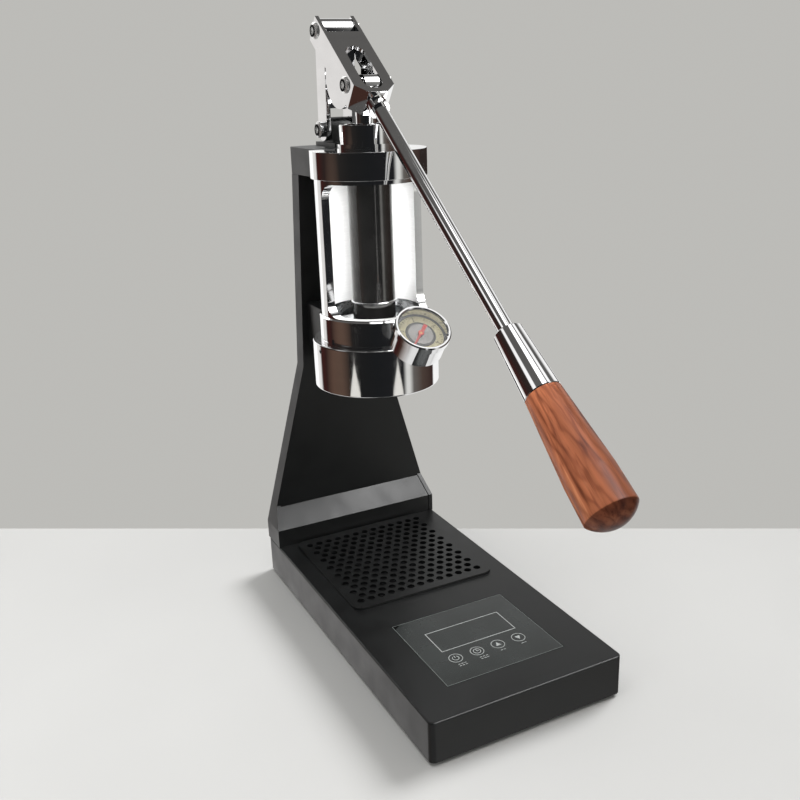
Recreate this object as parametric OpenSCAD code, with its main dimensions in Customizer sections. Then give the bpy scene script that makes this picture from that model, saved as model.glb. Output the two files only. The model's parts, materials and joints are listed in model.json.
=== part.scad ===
/* [Base] */
// Width of the base
base_w = 150; // [140:1:180]
// Length of the base from front to back
base_l = 295; // [285:1:330]
// Height of the base's top above the table
base_top = 32.6; // [31:0.1:40]
// Wall of the base housing
base_wall = 3; // [2.8:0.1:4]
// Radius of the base's upright corners
base_corner_r = 4; // [3.5:0.5:8]
// Distance from the back edge of the base to the plunger's axis
axis_setback = 78.4; // [76:0.1:84]
// Height of the rubber feet below the housing
foot_h = 2.6; // [1.5:0.1:4]
// Radius of a rubber foot
foot_r = 8; // [6:0.5:10]
// Thickness of the bottom plate
bottom_t = 1.5; // [1:0.1:2.5]

/* [Drip tray and grid] */
// Width of the drip grid
grid_w = 120.6; // [110:0.1:124]
// Length of the drip grid
grid_l = 125.2; // [110:0.1:128]
// Thickness of the drip grid
grid_t = 1.6; // [1.5:0.1:3]
// Corner radius of the drip grid
grid_corner_r = 7; // [4:0.5:10]
// Radius of a drain hole
hole_r = 2.9; // [2:0.1:3.2]
// Spacing of the drain holes along a row
hole_pitch = 8.6; // [7.5:0.1:10]
// Plain border round the drain holes
grid_border = 5; // [4:0.5:8]
// Gap from the grid's back edge to the column's foot
grid_gap = 1.5; // [1:0.1:3]
// Depth of the drip tray below its rim
tray_depth = 20; // [14:0.5:22]
// Wall of the drip tray
tray_wall = 1.2; // [1:0.1:2]
// Width of the tray's rim that hangs on the base
tray_rim = 3; // [2.5:0.1:4]

/* [Control panel] */
// Width of the control panel
panel_w = 93.6; // [80:0.1:110]
// Length of the control panel
panel_l = 82; // [70:0.5:90]
// Thickness of the control panel
panel_t = 2; // [1.5:0.1:2.2]
// Distance from the base's front edge to the control panel
panel_front = 28; // [20:0.5:34]
// Width of the display
display_w = 62; // [50:1:70]
// Length of the display
display_l = 22; // [16:1:28]
// Width of the control board
board_w = 84; // [78:1:92]
// Length of the control board
board_l = 62; // [58:1:68]

/* [Column] */
// Depth of the column
column_d = 14.1; // [12:0.1:18]
// Sheet thickness of the column
column_wall = 2; // [1.5:0.1:2.5]
// Height where the column's slanted sides start
flare_z = 48.4; // [44:0.1:54]
// Height where the slanted sides end
bend_z = 186; // [176:1:196]
// Width of the column at the bend
bend_w = 74.8; // [70:0.1:84]
// Width of the column's top, of the arm and of the group bracket
arm_w = 62; // [58:0.5:68]
// How far the column's foot stands in front of the column
foot_reach = 13; // [9:0.5:16]
// Height of the foot's upright front
foot_front_h = 15.7; // [12:0.1:20]
// Height of the foot's slope
foot_slope_h = 17.3; // [14:0.1:22]
// Width of the side edges that frame the foot's slope
foot_cheek = 3.5; // [2.5:0.1:5]
// How far the foot's slope lies behind its side edges
foot_step = 0.7; // [0.4:0.1:1.2]
// Height of the arm at the column's top
arm_h = 21; // [19:0.5:26]

/* [Group] */
// Height of the arm's and the top block's upper face
block_top = 363; // [356:0.5:370]
// Height of the chrome top block
block_h = 19.5; // [17:0.5:24]
// Radius of the cage tube
tube_r = 41; // [40:0.1:43]
// Wall of the cage tube
tube_wall = 6; // [5:0.1:7]
// How far the top block reaches behind the plunger's axis
block_back = 18.6; // [16:0.1:22]
// How far the top block stands out past the tube
block_lip = 2.3; // [1:0.1:3]
// Height of the cup's rim, where the window starts
rim_z = 243; // [240:0.5:248]
// Distance of the window's upright edges in front of the axis
window_edge = 4.5; // [3:0.1:7]
// Corner radius of the window
window_r = 12; // [8:0.5:15]
// Height of the tube's closed ring above the window
top_ring_h = 3; // [2.5:0.1:5]
// Height of the collar's upper edge below the rim
collar_drop = 0.5; // [0.3:0.1:1.5]
// Wall of the collar round the cup
collar_wall = 1.6; // [1.4:0.1:2.4]
// Outer radius of the lower ring
ring_r = 48.8; // [48.4:0.1:51]
// Height of the lower ring's upper edge
ring_top = 222; // [220:0.1:224]
// Height of the lower ring
ring_h = 36.5; // [35:0.1:38]
// Radius of the brew chamber's bore
chamber_r = 29; // [28:0.1:30]
// Radius of the opening that takes the portafilter
seat_r = 36.5; // [36:0.1:38]

/* [Plunger] */
// Radius of the plunger rod
rod_r = 16.5; // [15:0.1:17]
// Radius of the bore in the plunger rod
rod_bore_r = 11; // [9:0.1:12]
// Radius of the guide bush
bush_r = 20.5; // [20:0.1:22]
// Height of the guide bush above the top block
bush_rise = 17.5; // [15:0.5:20]
// Height of the piston
piston_h = 15.5; // [14:0.5:18]
// Gap between the piston and the shower screen at rest
piston_gap = 1.5; // [1:0.1:3]
// Radius of the yoke's stem
stem_r = 8; // [7:0.1:8.5]
// Thickness of the yoke's eye
eye_t = 11; // [10:0.1:12]

/* [Lever and link] */
// Angle of the lever below the horizontal at rest
lever_angle = 37.5; // [34:0.5:40]
// Distance between the lever's two pins
pin_span = 64; // [60:0.5:68]
// Length of the rear link between its pins
link_l = 71; // [68:0.5:74]
// Distance of the fixed pin behind the plunger's axis
pivot_y = 54; // [50:0.5:56]
// Height of the fixed pin above the arm
pivot_rise = 12.5; // [12:0.1:15]
// Radius of the three pins
pin_r = 3.5; // [3:0.1:3.7]
// Radius of a pin's head
pin_head_r = 6; // [5.5:0.1:7]
// Width of the lever's head
head_w = 31.6; // [30:0.1:34]
// Thickness of the lever head's cheeks
cheek_t = 3; // [2.5:0.1:3.4]
// Thickness of the lever head's top plate
head_top_t = 2.5; // [2:0.1:2.8]
// Width of the rear link
link_w = 17; // [15:0.5:18]
// Radius of the lever's rod
lever_r = 5.3; // [4.8:0.1:6]
// Distance from the front pin to the ferrule
ferrule_start = 235; // [225:1:250]
// Length of the ferrule
ferrule_l = 47; // [40:1:55]
// Radius of the ferrule at the rod
ferrule_r = 9.4; // [8.5:0.1:10.5]
// Radius of the ferrule at the handle, and of the handle's start
grip_start_r = 11.6; // [11:0.1:12.5]
// Length of the wooden handle
grip_l = 88.5; // [74:0.5:100]
// Largest radius of the handle
grip_r = 16.6; // [14:0.1:18]
// Radius of the edge round the handle's end
grip_end_r = 1.5; // [1:0.1:4]
// Rise of the handle's domed end
grip_dome = 8; // [0.5:0.1:10]

/* [Gauge] */
// Radius of the gauge's bezel
gauge_r = 20.6; // [19:0.1:22]
// Depth of the gauge from its face to its back
gauge_d = 20; // [18:0.5:21]
// Distance of the gauge's face in front of the plunger's axis
gauge_reach = 79.9; // [79:0.1:88]
// Height of the gauge's face
gauge_z = 245.2; // [245:0.1:250]
// Upward tilt of the gauge's face
gauge_tilt = 54; // [50:1:56]

/* [Clearances] */
// Radial clearance of a running fit
run_clear = 0.05; // [0.02:0.01:0.1]
// Clearance of a piece set into another
seat_clear = 0.3; // [0.2:0.05:0.5]
// Radial clearance of a fixed round fit
fix_clear = 0.04; // [0.02:0.01:0.1]
// Side clearance between the parts of the linkage
side_clear = 0.4; // [0.3:0.05:0.6]

/* [Hidden] */
$fn = 64;
black = "#1c1d1f";
chrome = "#c9ccd0";
steel = "#9a9da1";
wood = "#8a4426";
rubber = "#2a2a2a";
brass = "#b08d3c";

base_back = axis_setback;
base_front = base_back - base_l;
base_mid = (base_front + base_back) / 2;
inner_w = base_w - 2 * base_wall;
inner_l = base_l - 2 * base_wall;
inner_corner_r = max(base_corner_r - base_wall, 0.5);
inner_top = base_top - base_wall;
plate_z = foot_h + bottom_t;
foot_inset = 20;
post_r = 4;
post_inset = base_wall + post_r - 0.5;
small_screw_r = 1.5;
small_head_r = 2.8;
small_head_h = 1.6;
bottom_screw_l = 9;

column_back = base_back;
column_front = column_back - column_d;
foot_front = column_front - foot_reach;
column_top = block_top - arm_h;
cover_t = 1.5;
cover_gap = 0.2;
cover_boss_r = 4;
cover_screw_l = 7;
cover_screw_edge = 13;
cover_screw_drop = 16;
cover_screw_rise = 20;
cover_screw_foot = 8;
cover_screws = [
    [arm_w / 2 - cover_screw_edge, column_top - cover_screw_drop],
    [bend_w / 2 - cover_screw_edge - 0.4, bend_z + cover_screw_rise],
    [base_w / 2 - foot_cheek - cover_screw_edge - 2.5, flare_z + cover_screw_foot]
];
column_screw_x = 50;
column_screw_y = (column_front + column_back) / 2;

grid_back = foot_front - grid_gap;
grid_front = grid_back - grid_l;
grid_mid = (grid_front + grid_back) / 2;
recess_depth = base_wall - 1;
lip_rise = 0.2;
tray_lip_t = recess_depth + lip_rise;
tray_opening_r = 2;
tray_opening_w = grid_w - 2 * tray_rim;
tray_opening_l = grid_l - 2 * tray_rim;
tray_w = tray_opening_w - 2 * seat_clear;
tray_l = tray_opening_l - 2 * seat_clear;
tray_rim_z = base_top - recess_depth;
grid_z = tray_rim_z + tray_lip_t;
row_pitch = hole_pitch * sqrt(3) / 2;
row_holes = floor((grid_w - 2 * grid_border - 2 * hole_r) / hole_pitch) + 1;
row_count = floor((grid_l - 2 * grid_border - 2 * hole_r) / row_pitch) + 1;

panel_y0 = base_front + panel_front;
panel_mid = panel_y0 + panel_l / 2;
panel_floor = base_top - panel_t;
display_mid = panel_mid + panel_l / 8;
display_h = 4;
board_t = 1.6;
board_z = inner_top - display_h - board_t;
board_post_r = 3;
board_inset = 4;
board_screw_l = 3.5;
power_w = 60;
power_l = 34;
power_h = 14;
power_gap = 4.2;
power_mid = grid_front - power_gap - power_l / 2;
inlet_w = 31;
inlet_h = 23;
inlet_d = 22;
inlet_body_w = 27;
inlet_body_h = 19.5;
inlet_edge = 37;
inlet_x = base_w / 2 - inlet_edge;
inlet_z = (plate_z + inner_top) / 2 + 0.4;
inlet_flange_t = 2;

block_bottom = block_top - block_h;
tube_in_r = tube_r - tube_wall;
ring_bottom = ring_top - ring_h;
block_r = tube_r + block_lip;
collar_r = tube_r + fix_clear + collar_wall;
collar_top = rim_z - collar_drop;
collar_flange_h = 8;
heater_wall = 3.4;
heater_tab_w = 16;
heater_tab_h = 10;
heater_tab_in = 1.6;
heater_gap = 0.8;
heater_gap_low = 0.2;
heater_gap_top = 0.4;
ring_cavity_r = tube_r + heater_wall + heater_gap;
ring_floor_rise = 17.5;
ring_floor = ring_bottom + ring_floor_rise;
tube_step = 3;
tube_bottom = ring_floor - tube_step;
screen_t = 1.6;
screen_z = tube_bottom - screen_t;
seat_lip_r = chamber_r + 2;
seat_lip_t = 2;
gasket_top = screen_z - seat_lip_t;
gasket_h = 6;
ear_groove_r = seat_r + 5.5;
ear_lip_h = 3.5;
ear_slot_angle = 40;
slot_z = ring_top + 0.6;
slot_h = 4.2;
slot_depth = 1;
slot_start = -165;
slot_angle = 67;
sleeve_rise = 10;
sleeve_top = ring_top + sleeve_rise;
sleeve_cone_h = 6;
bracket_drop = 18;
bracket_step = 3;
bracket_bottom = ring_top - bracket_drop;
bracket_top = rim_z - bracket_step;
group_bolt_r = 2.5;
group_bolt_x = 16;
group_bolt_in = 20;
group_bolt_z = (ring_top + collar_top) / 2;
group_bolt_end = sqrt(pow(tube_in_r + 2, 2) - pow(group_bolt_x, 2));
lead_r = 2.6;
lead_drop = 14;
lead_z = ring_top - lead_drop;
lead_y = column_front + column_wall + lead_r + 0.2;
probe_r = 2;
probe_z = group_bolt_z + 2;
arm_bolt_r = 2.5;
arm_bolt_x = arm_w / 2 - 6;
arm_bolt_z = (block_bottom + block_top) / 2;
arm_bolt_head_r = 4.2;
arm_bolt_head_h = 5;
arm_bolt_tip = 4;
arm_screw_x = 14;
set_screw_r = 1.5;
set_screw_z = ring_top - 5;
set_screw_turn = 5;

pivot_z = block_top + pivot_rise;
pin_b_y = pin_span * cos(lever_angle);
pin_b_z = pivot_z + sqrt(pow(link_l, 2) - pow(pin_b_y - pivot_y, 2));
pin_c_z = pin_b_z - pin_span * sin(lever_angle);
link_lean = atan2(pivot_y - pin_b_y, pin_b_z - pivot_z);

bush_top = block_top + bush_rise;
bush_flange_r = bush_r + 2;
bush_flange_h = 4;
rod_top = bush_top - 8.5;
piston_z = tube_bottom + piston_gap;
piston_top = piston_z + piston_h;
piston_r = chamber_r - 0.3;
piston_boss_h = 18;
seal_h = 3;
seal_depth = 2.6;
rod_groove_z = rim_z + 6;
yoke_flange_h = 3;
yoke_spigot_h = 12;
slot_reach = 6.2;
slot_r = pin_r + 1.3;
eye_r = slot_r + 2;

head_half = head_w / 2;
head_rise = 9;
head_drop = 11;
head_rear = pin_span + 5;
head_chamfer = 12;
head_front = 20;
neck_r = 7.2;
neck_end = 29;
channel_half = head_half - cheek_t;
lobe_r = 22.8;
lobe_y = 13;
lobe_z = -2;
top_slot_half = 7.5;
top_slot_rear = 32;
top_slot_front = 15.5;
eye_notch_half = eye_t / 2 + side_clear + 0.1;
eye_notch_front = 18.7;
eye_notch_z = 1.8;
rod_in_head = eye_notch_front + 0.4;
link_half = channel_half - side_clear;
fork_half = link_half - 3.5;
link_top_r = link_w / 2;
head_open = pin_span - link_w / 2 - 5.5;
lug_half = fork_half - side_clear;
lug_r = 9;
bracket_plate_t = 3;
bracket_plate_half = 11;
bracket_reach = 19;
bracket_screw_off = 14.5;
pin_head_h = 2.4;
pin_nut_h = 3;
washer_t = head_half - link_half - 0.6;
grip_start = ferrule_start + ferrule_l;
grip_end = grip_start + grip_l;
rod_in_grip = 48;

needle_z = -6.6;
needle_t = 0.7;
needle_turn = 135;
gauge_case_r = gauge_r - 1.1;
gauge_in_r = gauge_case_r - 1.5;
bezel_h = 6;
dial_z = -8.6;
lens_t = 1.6;
shaft_r = 0.8;
boss_r = 5.2;
boss_l = 4;
gauge_stem_r = 4.4;
elbow_gap = 2.5;
elbow_swell = 0.3;
neck_in = 3.6;
elbow_y = -gauge_reach + (gauge_d + elbow_gap) * cos(gauge_tilt);
elbow_z = gauge_z - (gauge_d + elbow_gap) * sin(gauge_tilt);

// Forward reach of the handle, which with the base's back edge centres the part on its origin
grip_taper = 32.5;
grip_turn = 40;
grip_shoulder = grip_end - grip_dome - grip_end_r * sin(grip_turn);
grip_edge_r = grip_r - grip_end_r + grip_end_r * cos(grip_turn);
grip_ball = (pow(grip_edge_r, 2) + pow(grip_dome, 2)) / (2 * grip_dome);
grip_sweep = asin(grip_edge_r / grip_ball);
grip_lean = min(lever_angle, grip_sweep);
grip_tip = max(
    (grip_end - grip_ball + grip_ball * cos(grip_lean)) * cos(lever_angle)
        + grip_ball * sin(grip_lean) * sin(lever_angle),
    grip_shoulder * cos(lever_angle) + (grip_r - grip_end_r) * sin(lever_angle) + grip_end_r);
origin_y = (base_back - grip_tip) / 2;

// Shapes that repeat

module rounded_rect(w, l, r) {
    square([w - 2 * r, l], center = true);
    square([w, l - 2 * r], center = true);
    for (x = [-1, 1], y = [-1, 1])
        translate([x * (w / 2 - r), y * (l / 2 - r)]) circle(r);
}

module slab(w, l, h, r) {
    linear_extrude(h) rounded_rect(w, l, r);
}

module along_x(r, x0, x1) {
    translate([x0, 0, 0]) rotate([0, 90, 0]) cylinder(r = r, h = x1 - x0);
}

module along_y(r, y0, y1) {
    translate([0, y0, 0]) rotate([-90, 0, 0]) cylinder(r = r, h = y1 - y0);
}

module side_profile(width) {
    rotate([90, 0, 90]) linear_extrude(width, center = true) children();
}

module stadium(reach, r) {
    square([2 * reach, 2 * r], center = true);
    for (s = [-1, 1]) translate([s * reach, 0]) circle(r);
}

module ring(r_in, r_out, z0, z1) {
    rotate_extrude() translate([r_in, z0]) square([r_out - r_in, z1 - z0]);
}

module sector(r_in, r_out, z0, z1, start, turn) {
    rotate([0, 0, start]) rotate_extrude(angle = turn)
        translate([r_in, z0]) square([r_out - r_in, z1 - z0]);
}

// Screw that points up, with its head's top face at z = 0
module screw_up(r, l, head_r, head_h) {
    cylinder(r = head_r, h = head_h);
    translate([0, 0, head_h]) cylinder(r = r, h = l);
}

// Countersunk screw along -Y whose flat head lies at y = 0
module flush_screw(r, l, head_r) {
    rotate([90, 0, 0]) {
        cylinder(r1 = head_r, r2 = r, h = head_r - r);
        cylinder(r = r, h = l);
    }
}

// Domed head on the outer side of a pin, from x = 0 towards -X
module pin_head() {
    dome = pin_head_h * 0.6;
    ball = (pow(pin_head_r, 2) + pow(dome, 2)) / (2 * dome);
    difference() {
        intersection() {
            along_x(pin_head_r, -pin_head_h, 0);
            translate([ball - pin_head_h, 0, 0]) sphere(ball, $fn = 96);
        }
        translate([-pin_head_h - 0.5, 0, 0]) rotate([0, 90, 0])
            cylinder(r = pin_head_r * 0.45, h = pin_head_h * 0.6, $fn = 6);
    }
}

// Frame of the lever: the front pin's axis at the origin, the handle towards -Y
module on_lever() {
    translate([0, 0, pin_c_z]) rotate([lever_angle, 0, 0]) children();
}

// Frame of the gauge: the centre of its face at the origin, looking along +Z
module on_gauge() {
    translate([0, -gauge_reach, gauge_z]) rotate([90 - gauge_tilt, 0, 0]) children();
}

// Half width of the column at a height
function column_half(z) =
    z <= flare_z ? base_w / 2
    : z <= bend_z ? base_w / 2 - (base_w - bend_w) / 2 * (z - flare_z) / (bend_z - flare_z)
    : bend_w / 2 - (bend_w - arm_w) / 2 * (z - bend_z) / (column_top - bend_z);

module column_outline(inset, z0, z1) {
    heights = [z0, flare_z, bend_z, z1];
    right = [for (z = heights) [column_half(z) - inset, z]];
    left = [for (i = [3:-1:0]) [inset - column_half(heights[i]), heights[i]]];
    polygon(concat(right, left));
}

module column_slice(inset, z0, z1, y0, y1) {
    translate([0, y1, 0]) rotate([90, 0, 0])
        linear_extrude(y1 - y0) column_outline(inset, z0, z1);
}

module at_cover_screws() {
    for (p = cover_screws, s = [-1, 1]) translate([s * p[0], 0, p[1]]) children();
}

module at_bottom_posts() {
    for (x = [-1, 1], y = [base_front + post_inset, grid_front - post_r - 4, base_back - post_inset])
        translate([x * (base_w / 2 - post_inset), y, 0]) children();
}

module at_board_posts() {
    for (x = [-1, 1], y = [-1, 1])
        translate([x * (board_w / 2 - board_inset), panel_mid + y * (board_l / 2 - board_inset), 0])
            children();
}

module at_column_screws() {
    for (x = [-1, 1]) translate([x * column_screw_x, column_screw_y, 0]) children();
}

module at_group_bolts() {
    for (x = [-1, 1]) translate([x * group_bolt_x, 0, group_bolt_z]) children();
}

module at_arm_bolts() {
    for (x = [-1, 1]) translate([x * arm_bolt_x, 0, arm_bolt_z]) children();
}

module at_arm_screws() {
    for (x = [-1, 1]) translate([x * arm_screw_x, column_screw_y, 0]) children();
}

module at_bracket_screws() {
    for (s = [-1, 1]) translate([0, pivot_y + s * bracket_screw_off, 0]) children();
}

// Base

module base_housing() {
    color(black) difference() {
        union() {
            difference() {
                translate([0, base_mid, foot_h])
                    slab(base_w, base_l, base_top - foot_h, base_corner_r);
                translate([0, base_mid, foot_h - 1])
                    slab(inner_w, inner_l, inner_top - foot_h + 1, inner_corner_r);
            }
            at_bottom_posts() translate([0, 0, plate_z]) cylinder(r = post_r, h = inner_top - plate_z + 0.5);
        }
        translate([0, grid_mid, tray_rim_z])
            slab(grid_w + 2 * seat_clear, grid_l + 2 * seat_clear, base_wall, grid_corner_r + seat_clear);
        translate([0, grid_mid, inner_top - 1])
            slab(tray_opening_w, tray_opening_l, base_wall + 1, tray_opening_r);
        translate([0, panel_mid, panel_floor])
            slab(panel_w + 2 * seat_clear, panel_l + 2 * seat_clear, base_wall, 1);
        translate([0, display_mid, inner_top - 1]) slab(display_w, display_l, base_wall + 1, 1);
        at_bottom_posts() translate([0, 0, plate_z - 1])
            cylinder(r = small_screw_r + fix_clear, h = bottom_screw_l + 1);
        at_column_screws() translate([0, 0, inner_top - 1])
            cylinder(r = small_screw_r + seat_clear, h = base_wall + 2);
        translate([0, lead_y, inner_top - 1]) cylinder(r = lead_r + seat_clear, h = base_wall + 2);
        translate([inlet_x, base_back, inlet_z]) rotate([90, 0, 0]) {
            translate([0, 0, -1]) slab(inlet_w + 0.4, inlet_h + 0.4, inlet_flange_t + 1, 2);
            slab(inlet_body_w + 0.4, inlet_body_h + 0.4, base_wall + 1, 1.5);
        }
    }
}

module base_bottom_plate() {
    color(steel) difference() {
        translate([0, base_mid, foot_h])
            slab(inner_w - 2 * cover_gap, inner_l - 2 * cover_gap, bottom_t, inner_corner_r);
        at_bottom_posts() translate([0, 0, foot_h - 1])
            cylinder(r = small_screw_r + fix_clear, h = bottom_t + 2);
    }
}

module bottom_screws() {
    color(steel) at_bottom_posts() translate([0, 0, foot_h - small_head_h])
        screw_up(small_screw_r, bottom_screw_l, small_head_r, small_head_h);
}

module rubber_feet() {
    color(rubber) for (x = [-1, 1], y = [base_front + foot_inset, base_back - foot_inset])
        translate([x * (base_w / 2 - foot_inset), y, 0]) {
            cylinder(r1 = foot_r - 1, r2 = foot_r, h = foot_h / 2);
            translate([0, 0, foot_h / 2]) cylinder(r = foot_r, h = foot_h / 2);
        }
}

module control_panel() {
    color("#2b302f") translate([0, panel_mid, panel_floor]) slab(panel_w, panel_l, panel_t, 0.8);
}

module display_module() {
    color("#20242a") translate([0, display_mid, board_z + board_t])
        slab(display_w - 2 * seat_clear, display_l - 2 * seat_clear, panel_floor - board_z - board_t, 1);
}

module control_board() {
    chip = 12;
    color("#1f5a34") difference() {
        translate([0, panel_mid, board_z]) {
            slab(board_w, board_l, board_t, 1);
            translate([0, -board_l / 4, -2]) slab(chip, chip, 2, 0.5);
            translate([board_w / 4, board_l / 6, -5]) slab(chip * 1.5, chip, 5, 0.5);
        }
        at_board_posts() translate([0, 0, board_z - 1])
            cylinder(r = small_screw_r + fix_clear, h = board_t + 2);
    }
}

module board_standoffs() {
    color(brass) difference() {
        at_board_posts() translate([0, 0, board_z + board_t]) cylinder(r = board_post_r, h = display_h);
        at_board_posts() translate([0, 0, board_z])
            cylinder(r = small_screw_r + fix_clear, h = board_t + board_screw_l + 0.2);
    }
}

module board_screws() {
    color(steel) at_board_posts() translate([0, 0, board_z - small_head_h])
        screw_up(small_screw_r, board_t + board_screw_l, small_head_r, small_head_h);
}

module power_module() {
    color("#3a3d42") translate([0, power_mid, plate_z]) slab(power_w, power_l, power_h, 2);
}

module power_inlet() {
    pocket_depth = 16;
    pin_w = 2;
    color(black) translate([inlet_x, base_back, inlet_z]) rotate([90, 0, 0]) {
        difference() {
            union() {
                slab(inlet_w, inlet_h, inlet_flange_t, 2);
                slab(inlet_body_w, inlet_body_h, inlet_d, 1.5);
            }
            translate([0, 0, -1]) slab(inlet_body_w - 3, inlet_body_h - 4, pocket_depth + 1, 3);
        }
        for (x = [-1, 0, 1]) translate([x * 7, abs(x) * 2 - 1, pocket_depth / 4])
            linear_extrude(pocket_depth) square([pin_w, 2 * pin_w], center = true);
    }
}

module drip_tray() {
    color(steel) translate([0, grid_mid, 0]) difference() {
        union() {
            translate([0, 0, tray_rim_z])
                slab(grid_w, grid_l, tray_lip_t, grid_corner_r);
            translate([0, 0, tray_rim_z - tray_depth])
                slab(tray_w, tray_l, tray_depth + tray_lip_t / 2, grid_corner_r - seat_clear);
        }
        translate([0, 0, tray_rim_z - tray_depth + tray_wall])
            slab(tray_w - 2 * tray_wall, tray_l - 2 * tray_wall, tray_depth + 2,
                grid_corner_r - seat_clear - tray_wall);
    }
}

module drain_holes() {
    y0 = -(row_count - 1) * row_pitch / 2;
    for (row = [0 : row_count - 1]) {
        count = row_holes - row % 2;
        x0 = -(count - 1) * hole_pitch / 2;
        for (i = [0 : count - 1])
            translate([x0 + i * hole_pitch, y0 + row * row_pitch]) circle(hole_r, $fn = 24);
    }
}

module drip_grid() {
    color(black) translate([0, grid_mid, grid_z]) linear_extrude(grid_t) difference() {
        rounded_rect(grid_w, grid_l, grid_corner_r);
        drain_holes();
    }
}

// Column and arm

// Side view of the foot, with its front and slope set back
module foot_profile(back) {
    slope_start = base_top + foot_front_h;
    polygon([
        [foot_front + back, base_top - back],
        [foot_front + back, slope_start - back / 2],
        [column_front + back, slope_start + foot_slope_h - back / 2],
        [column_front + column_wall, slope_start + foot_slope_h - back / 2],
        [column_front + column_wall, base_top - back]
    ]);
}

// Foot between the column's sides, moved in from each side
module column_foot(side, back) {
    intersection() {
        side_profile(base_w) foot_profile(back);
        column_slice(side, base_top - back, column_top, foot_front - 1, column_front + column_wall);
    }
}

module column_shell() {
    color(black) difference() {
        union() {
            difference() {
                column_slice(0, base_top, column_top, column_front, column_back);
                column_slice(column_wall, base_top + column_wall, column_top - column_wall,
                    column_front + column_wall, column_back + 1);
            }
            difference() {
                column_foot(0, 0);
                difference() {
                    column_slice(foot_cheek, base_top - 1, column_top, foot_front - 1, column_front);
                    side_profile(base_w + 2) foot_profile(foot_step);
                }
                column_foot(foot_cheek, column_wall + foot_step);
            }
            at_cover_screws() along_y(cover_boss_r, column_front + column_wall / 2, column_back - cover_t);
        }
        at_cover_screws() along_y(small_screw_r + fix_clear, column_back - cover_screw_l - 1, column_back);
        at_column_screws() translate([0, 0, base_top - 1])
            cylinder(r = small_screw_r + fix_clear, h = column_wall + 2);
        at_arm_screws() translate([0, 0, column_top - column_wall - 1])
            cylinder(r = small_screw_r + fix_clear, h = column_wall + 2);
        at_group_bolts() along_y(group_bolt_r + seat_clear, column_front - 1, column_front + column_wall + 1);
        translate([0, 0, lead_z]) along_y(lead_r + seat_clear, column_front - 1, column_front + column_wall + 1);
        translate([0, 0, probe_z]) along_y(probe_r + seat_clear, column_front - 1, column_front + column_wall + 1);
        translate([0, lead_y, base_top - 1]) cylinder(r = lead_r + seat_clear, h = column_wall + 2);
    }
}

module column_rear_cover() {
    color(black) difference() {
        column_slice(column_wall + cover_gap, base_top + column_wall + cover_gap,
            column_top - column_wall - cover_gap, column_back - cover_t, column_back);
        at_cover_screws() translate([0, column_back, 0])
            flush_screw(small_screw_r + fix_clear, cover_screw_l + 1, small_head_r + fix_clear);
    }
}

module rear_cover_screws() {
    color(steel) at_cover_screws() translate([0, column_back, 0])
        flush_screw(small_screw_r, cover_screw_l, small_head_r);
}

module column_screws() {
    color(steel) at_column_screws() translate([0, 0, inner_top - small_head_h])
        screw_up(small_screw_r, base_wall + column_wall + 2, small_head_r, small_head_h);
}

module top_arm() {
    color(black) difference() {
        translate([-arm_w / 2, block_back, column_top])
            cube([arm_w, column_back - block_back, arm_h]);
        at_arm_bolts() {
            along_y(arm_bolt_r + fix_clear, block_back - 1, column_back);
            along_y(arm_bolt_head_r + seat_clear, column_back - arm_bolt_head_h - 1, column_back + 1);
        }
        at_arm_screws() translate([0, 0, column_top - 1])
            cylinder(r = small_screw_r + fix_clear, h = 9);
        at_bracket_screws() translate([0, 0, block_top - 9])
            cylinder(r = small_screw_r + fix_clear, h = 10);
        translate([0, 0, column_top - 1])
            cylinder(r = tube_r + fix_clear, h = block_bottom - column_top + 1);
        translate([0, 0, column_top - 1]) cylinder(r = bush_r + fix_clear, h = arm_h + 2);
    }
}

module arm_bolts() {
    seat = column_back - arm_bolt_head_h - 1;
    color(steel) at_arm_bolts() difference() {
        union() {
            along_y(arm_bolt_r, arm_bolt_tip, seat);
            along_y(arm_bolt_head_r, seat, seat + arm_bolt_head_h);
        }
        translate([0, seat + 2, 0]) rotate([-90, 0, 0])
            cylinder(r = arm_bolt_r, h = arm_bolt_head_h, $fn = 6);
    }
}

module arm_screws() {
    color(steel) at_arm_screws() translate([0, 0, column_top - column_wall - small_head_h])
        screw_up(small_screw_r, column_wall + 7, small_head_r, small_head_h);
}

// Group

module group_bracket() {
    color(black) difference() {
        translate([-arm_w / 2, 0, bracket_bottom])
            cube([arm_w, column_front, bracket_top - bracket_bottom]);
        translate([0, 0, bracket_bottom - 1])
            cylinder(r = collar_r + run_clear, h = bracket_top - bracket_bottom + 2);
        translate([0, 0, bracket_bottom - 1])
            cylinder(r = ring_r + run_clear, h = ring_top - bracket_bottom + 1 + run_clear);
        at_group_bolts() along_y(group_bolt_r + fix_clear, 0, column_front + 1);
        translate([0, 0, lead_z]) along_y(lead_r + seat_clear, 0, column_front + 1);
        translate([0, 0, probe_z]) along_y(probe_r + fix_clear, 0, column_front + 1);
    }
}

module group_bolts() {
    seat = column_front + column_wall;
    head_h = 4;
    color(steel) at_group_bolts() {
        along_y(group_bolt_r, group_bolt_end, seat);
        along_y(arm_bolt_head_r, seat, seat + head_h);
    }
}

module upper_block() {
    color(chrome) difference() {
        translate([0, 0, block_bottom]) linear_extrude(block_h) {
            intersection() {
                circle(block_r, $fn = 128);
                translate([-2 * block_r, -2 * block_r]) square([4 * block_r, 2 * block_r + block_back]);
            }
        }
        translate([0, 0, block_bottom - 1]) cylinder(r = bush_r + fix_clear, h = block_h + 2);
        at_arm_bolts() along_y(arm_bolt_r + fix_clear, arm_bolt_tip - 1, block_back + 1);
    }
}

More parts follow.
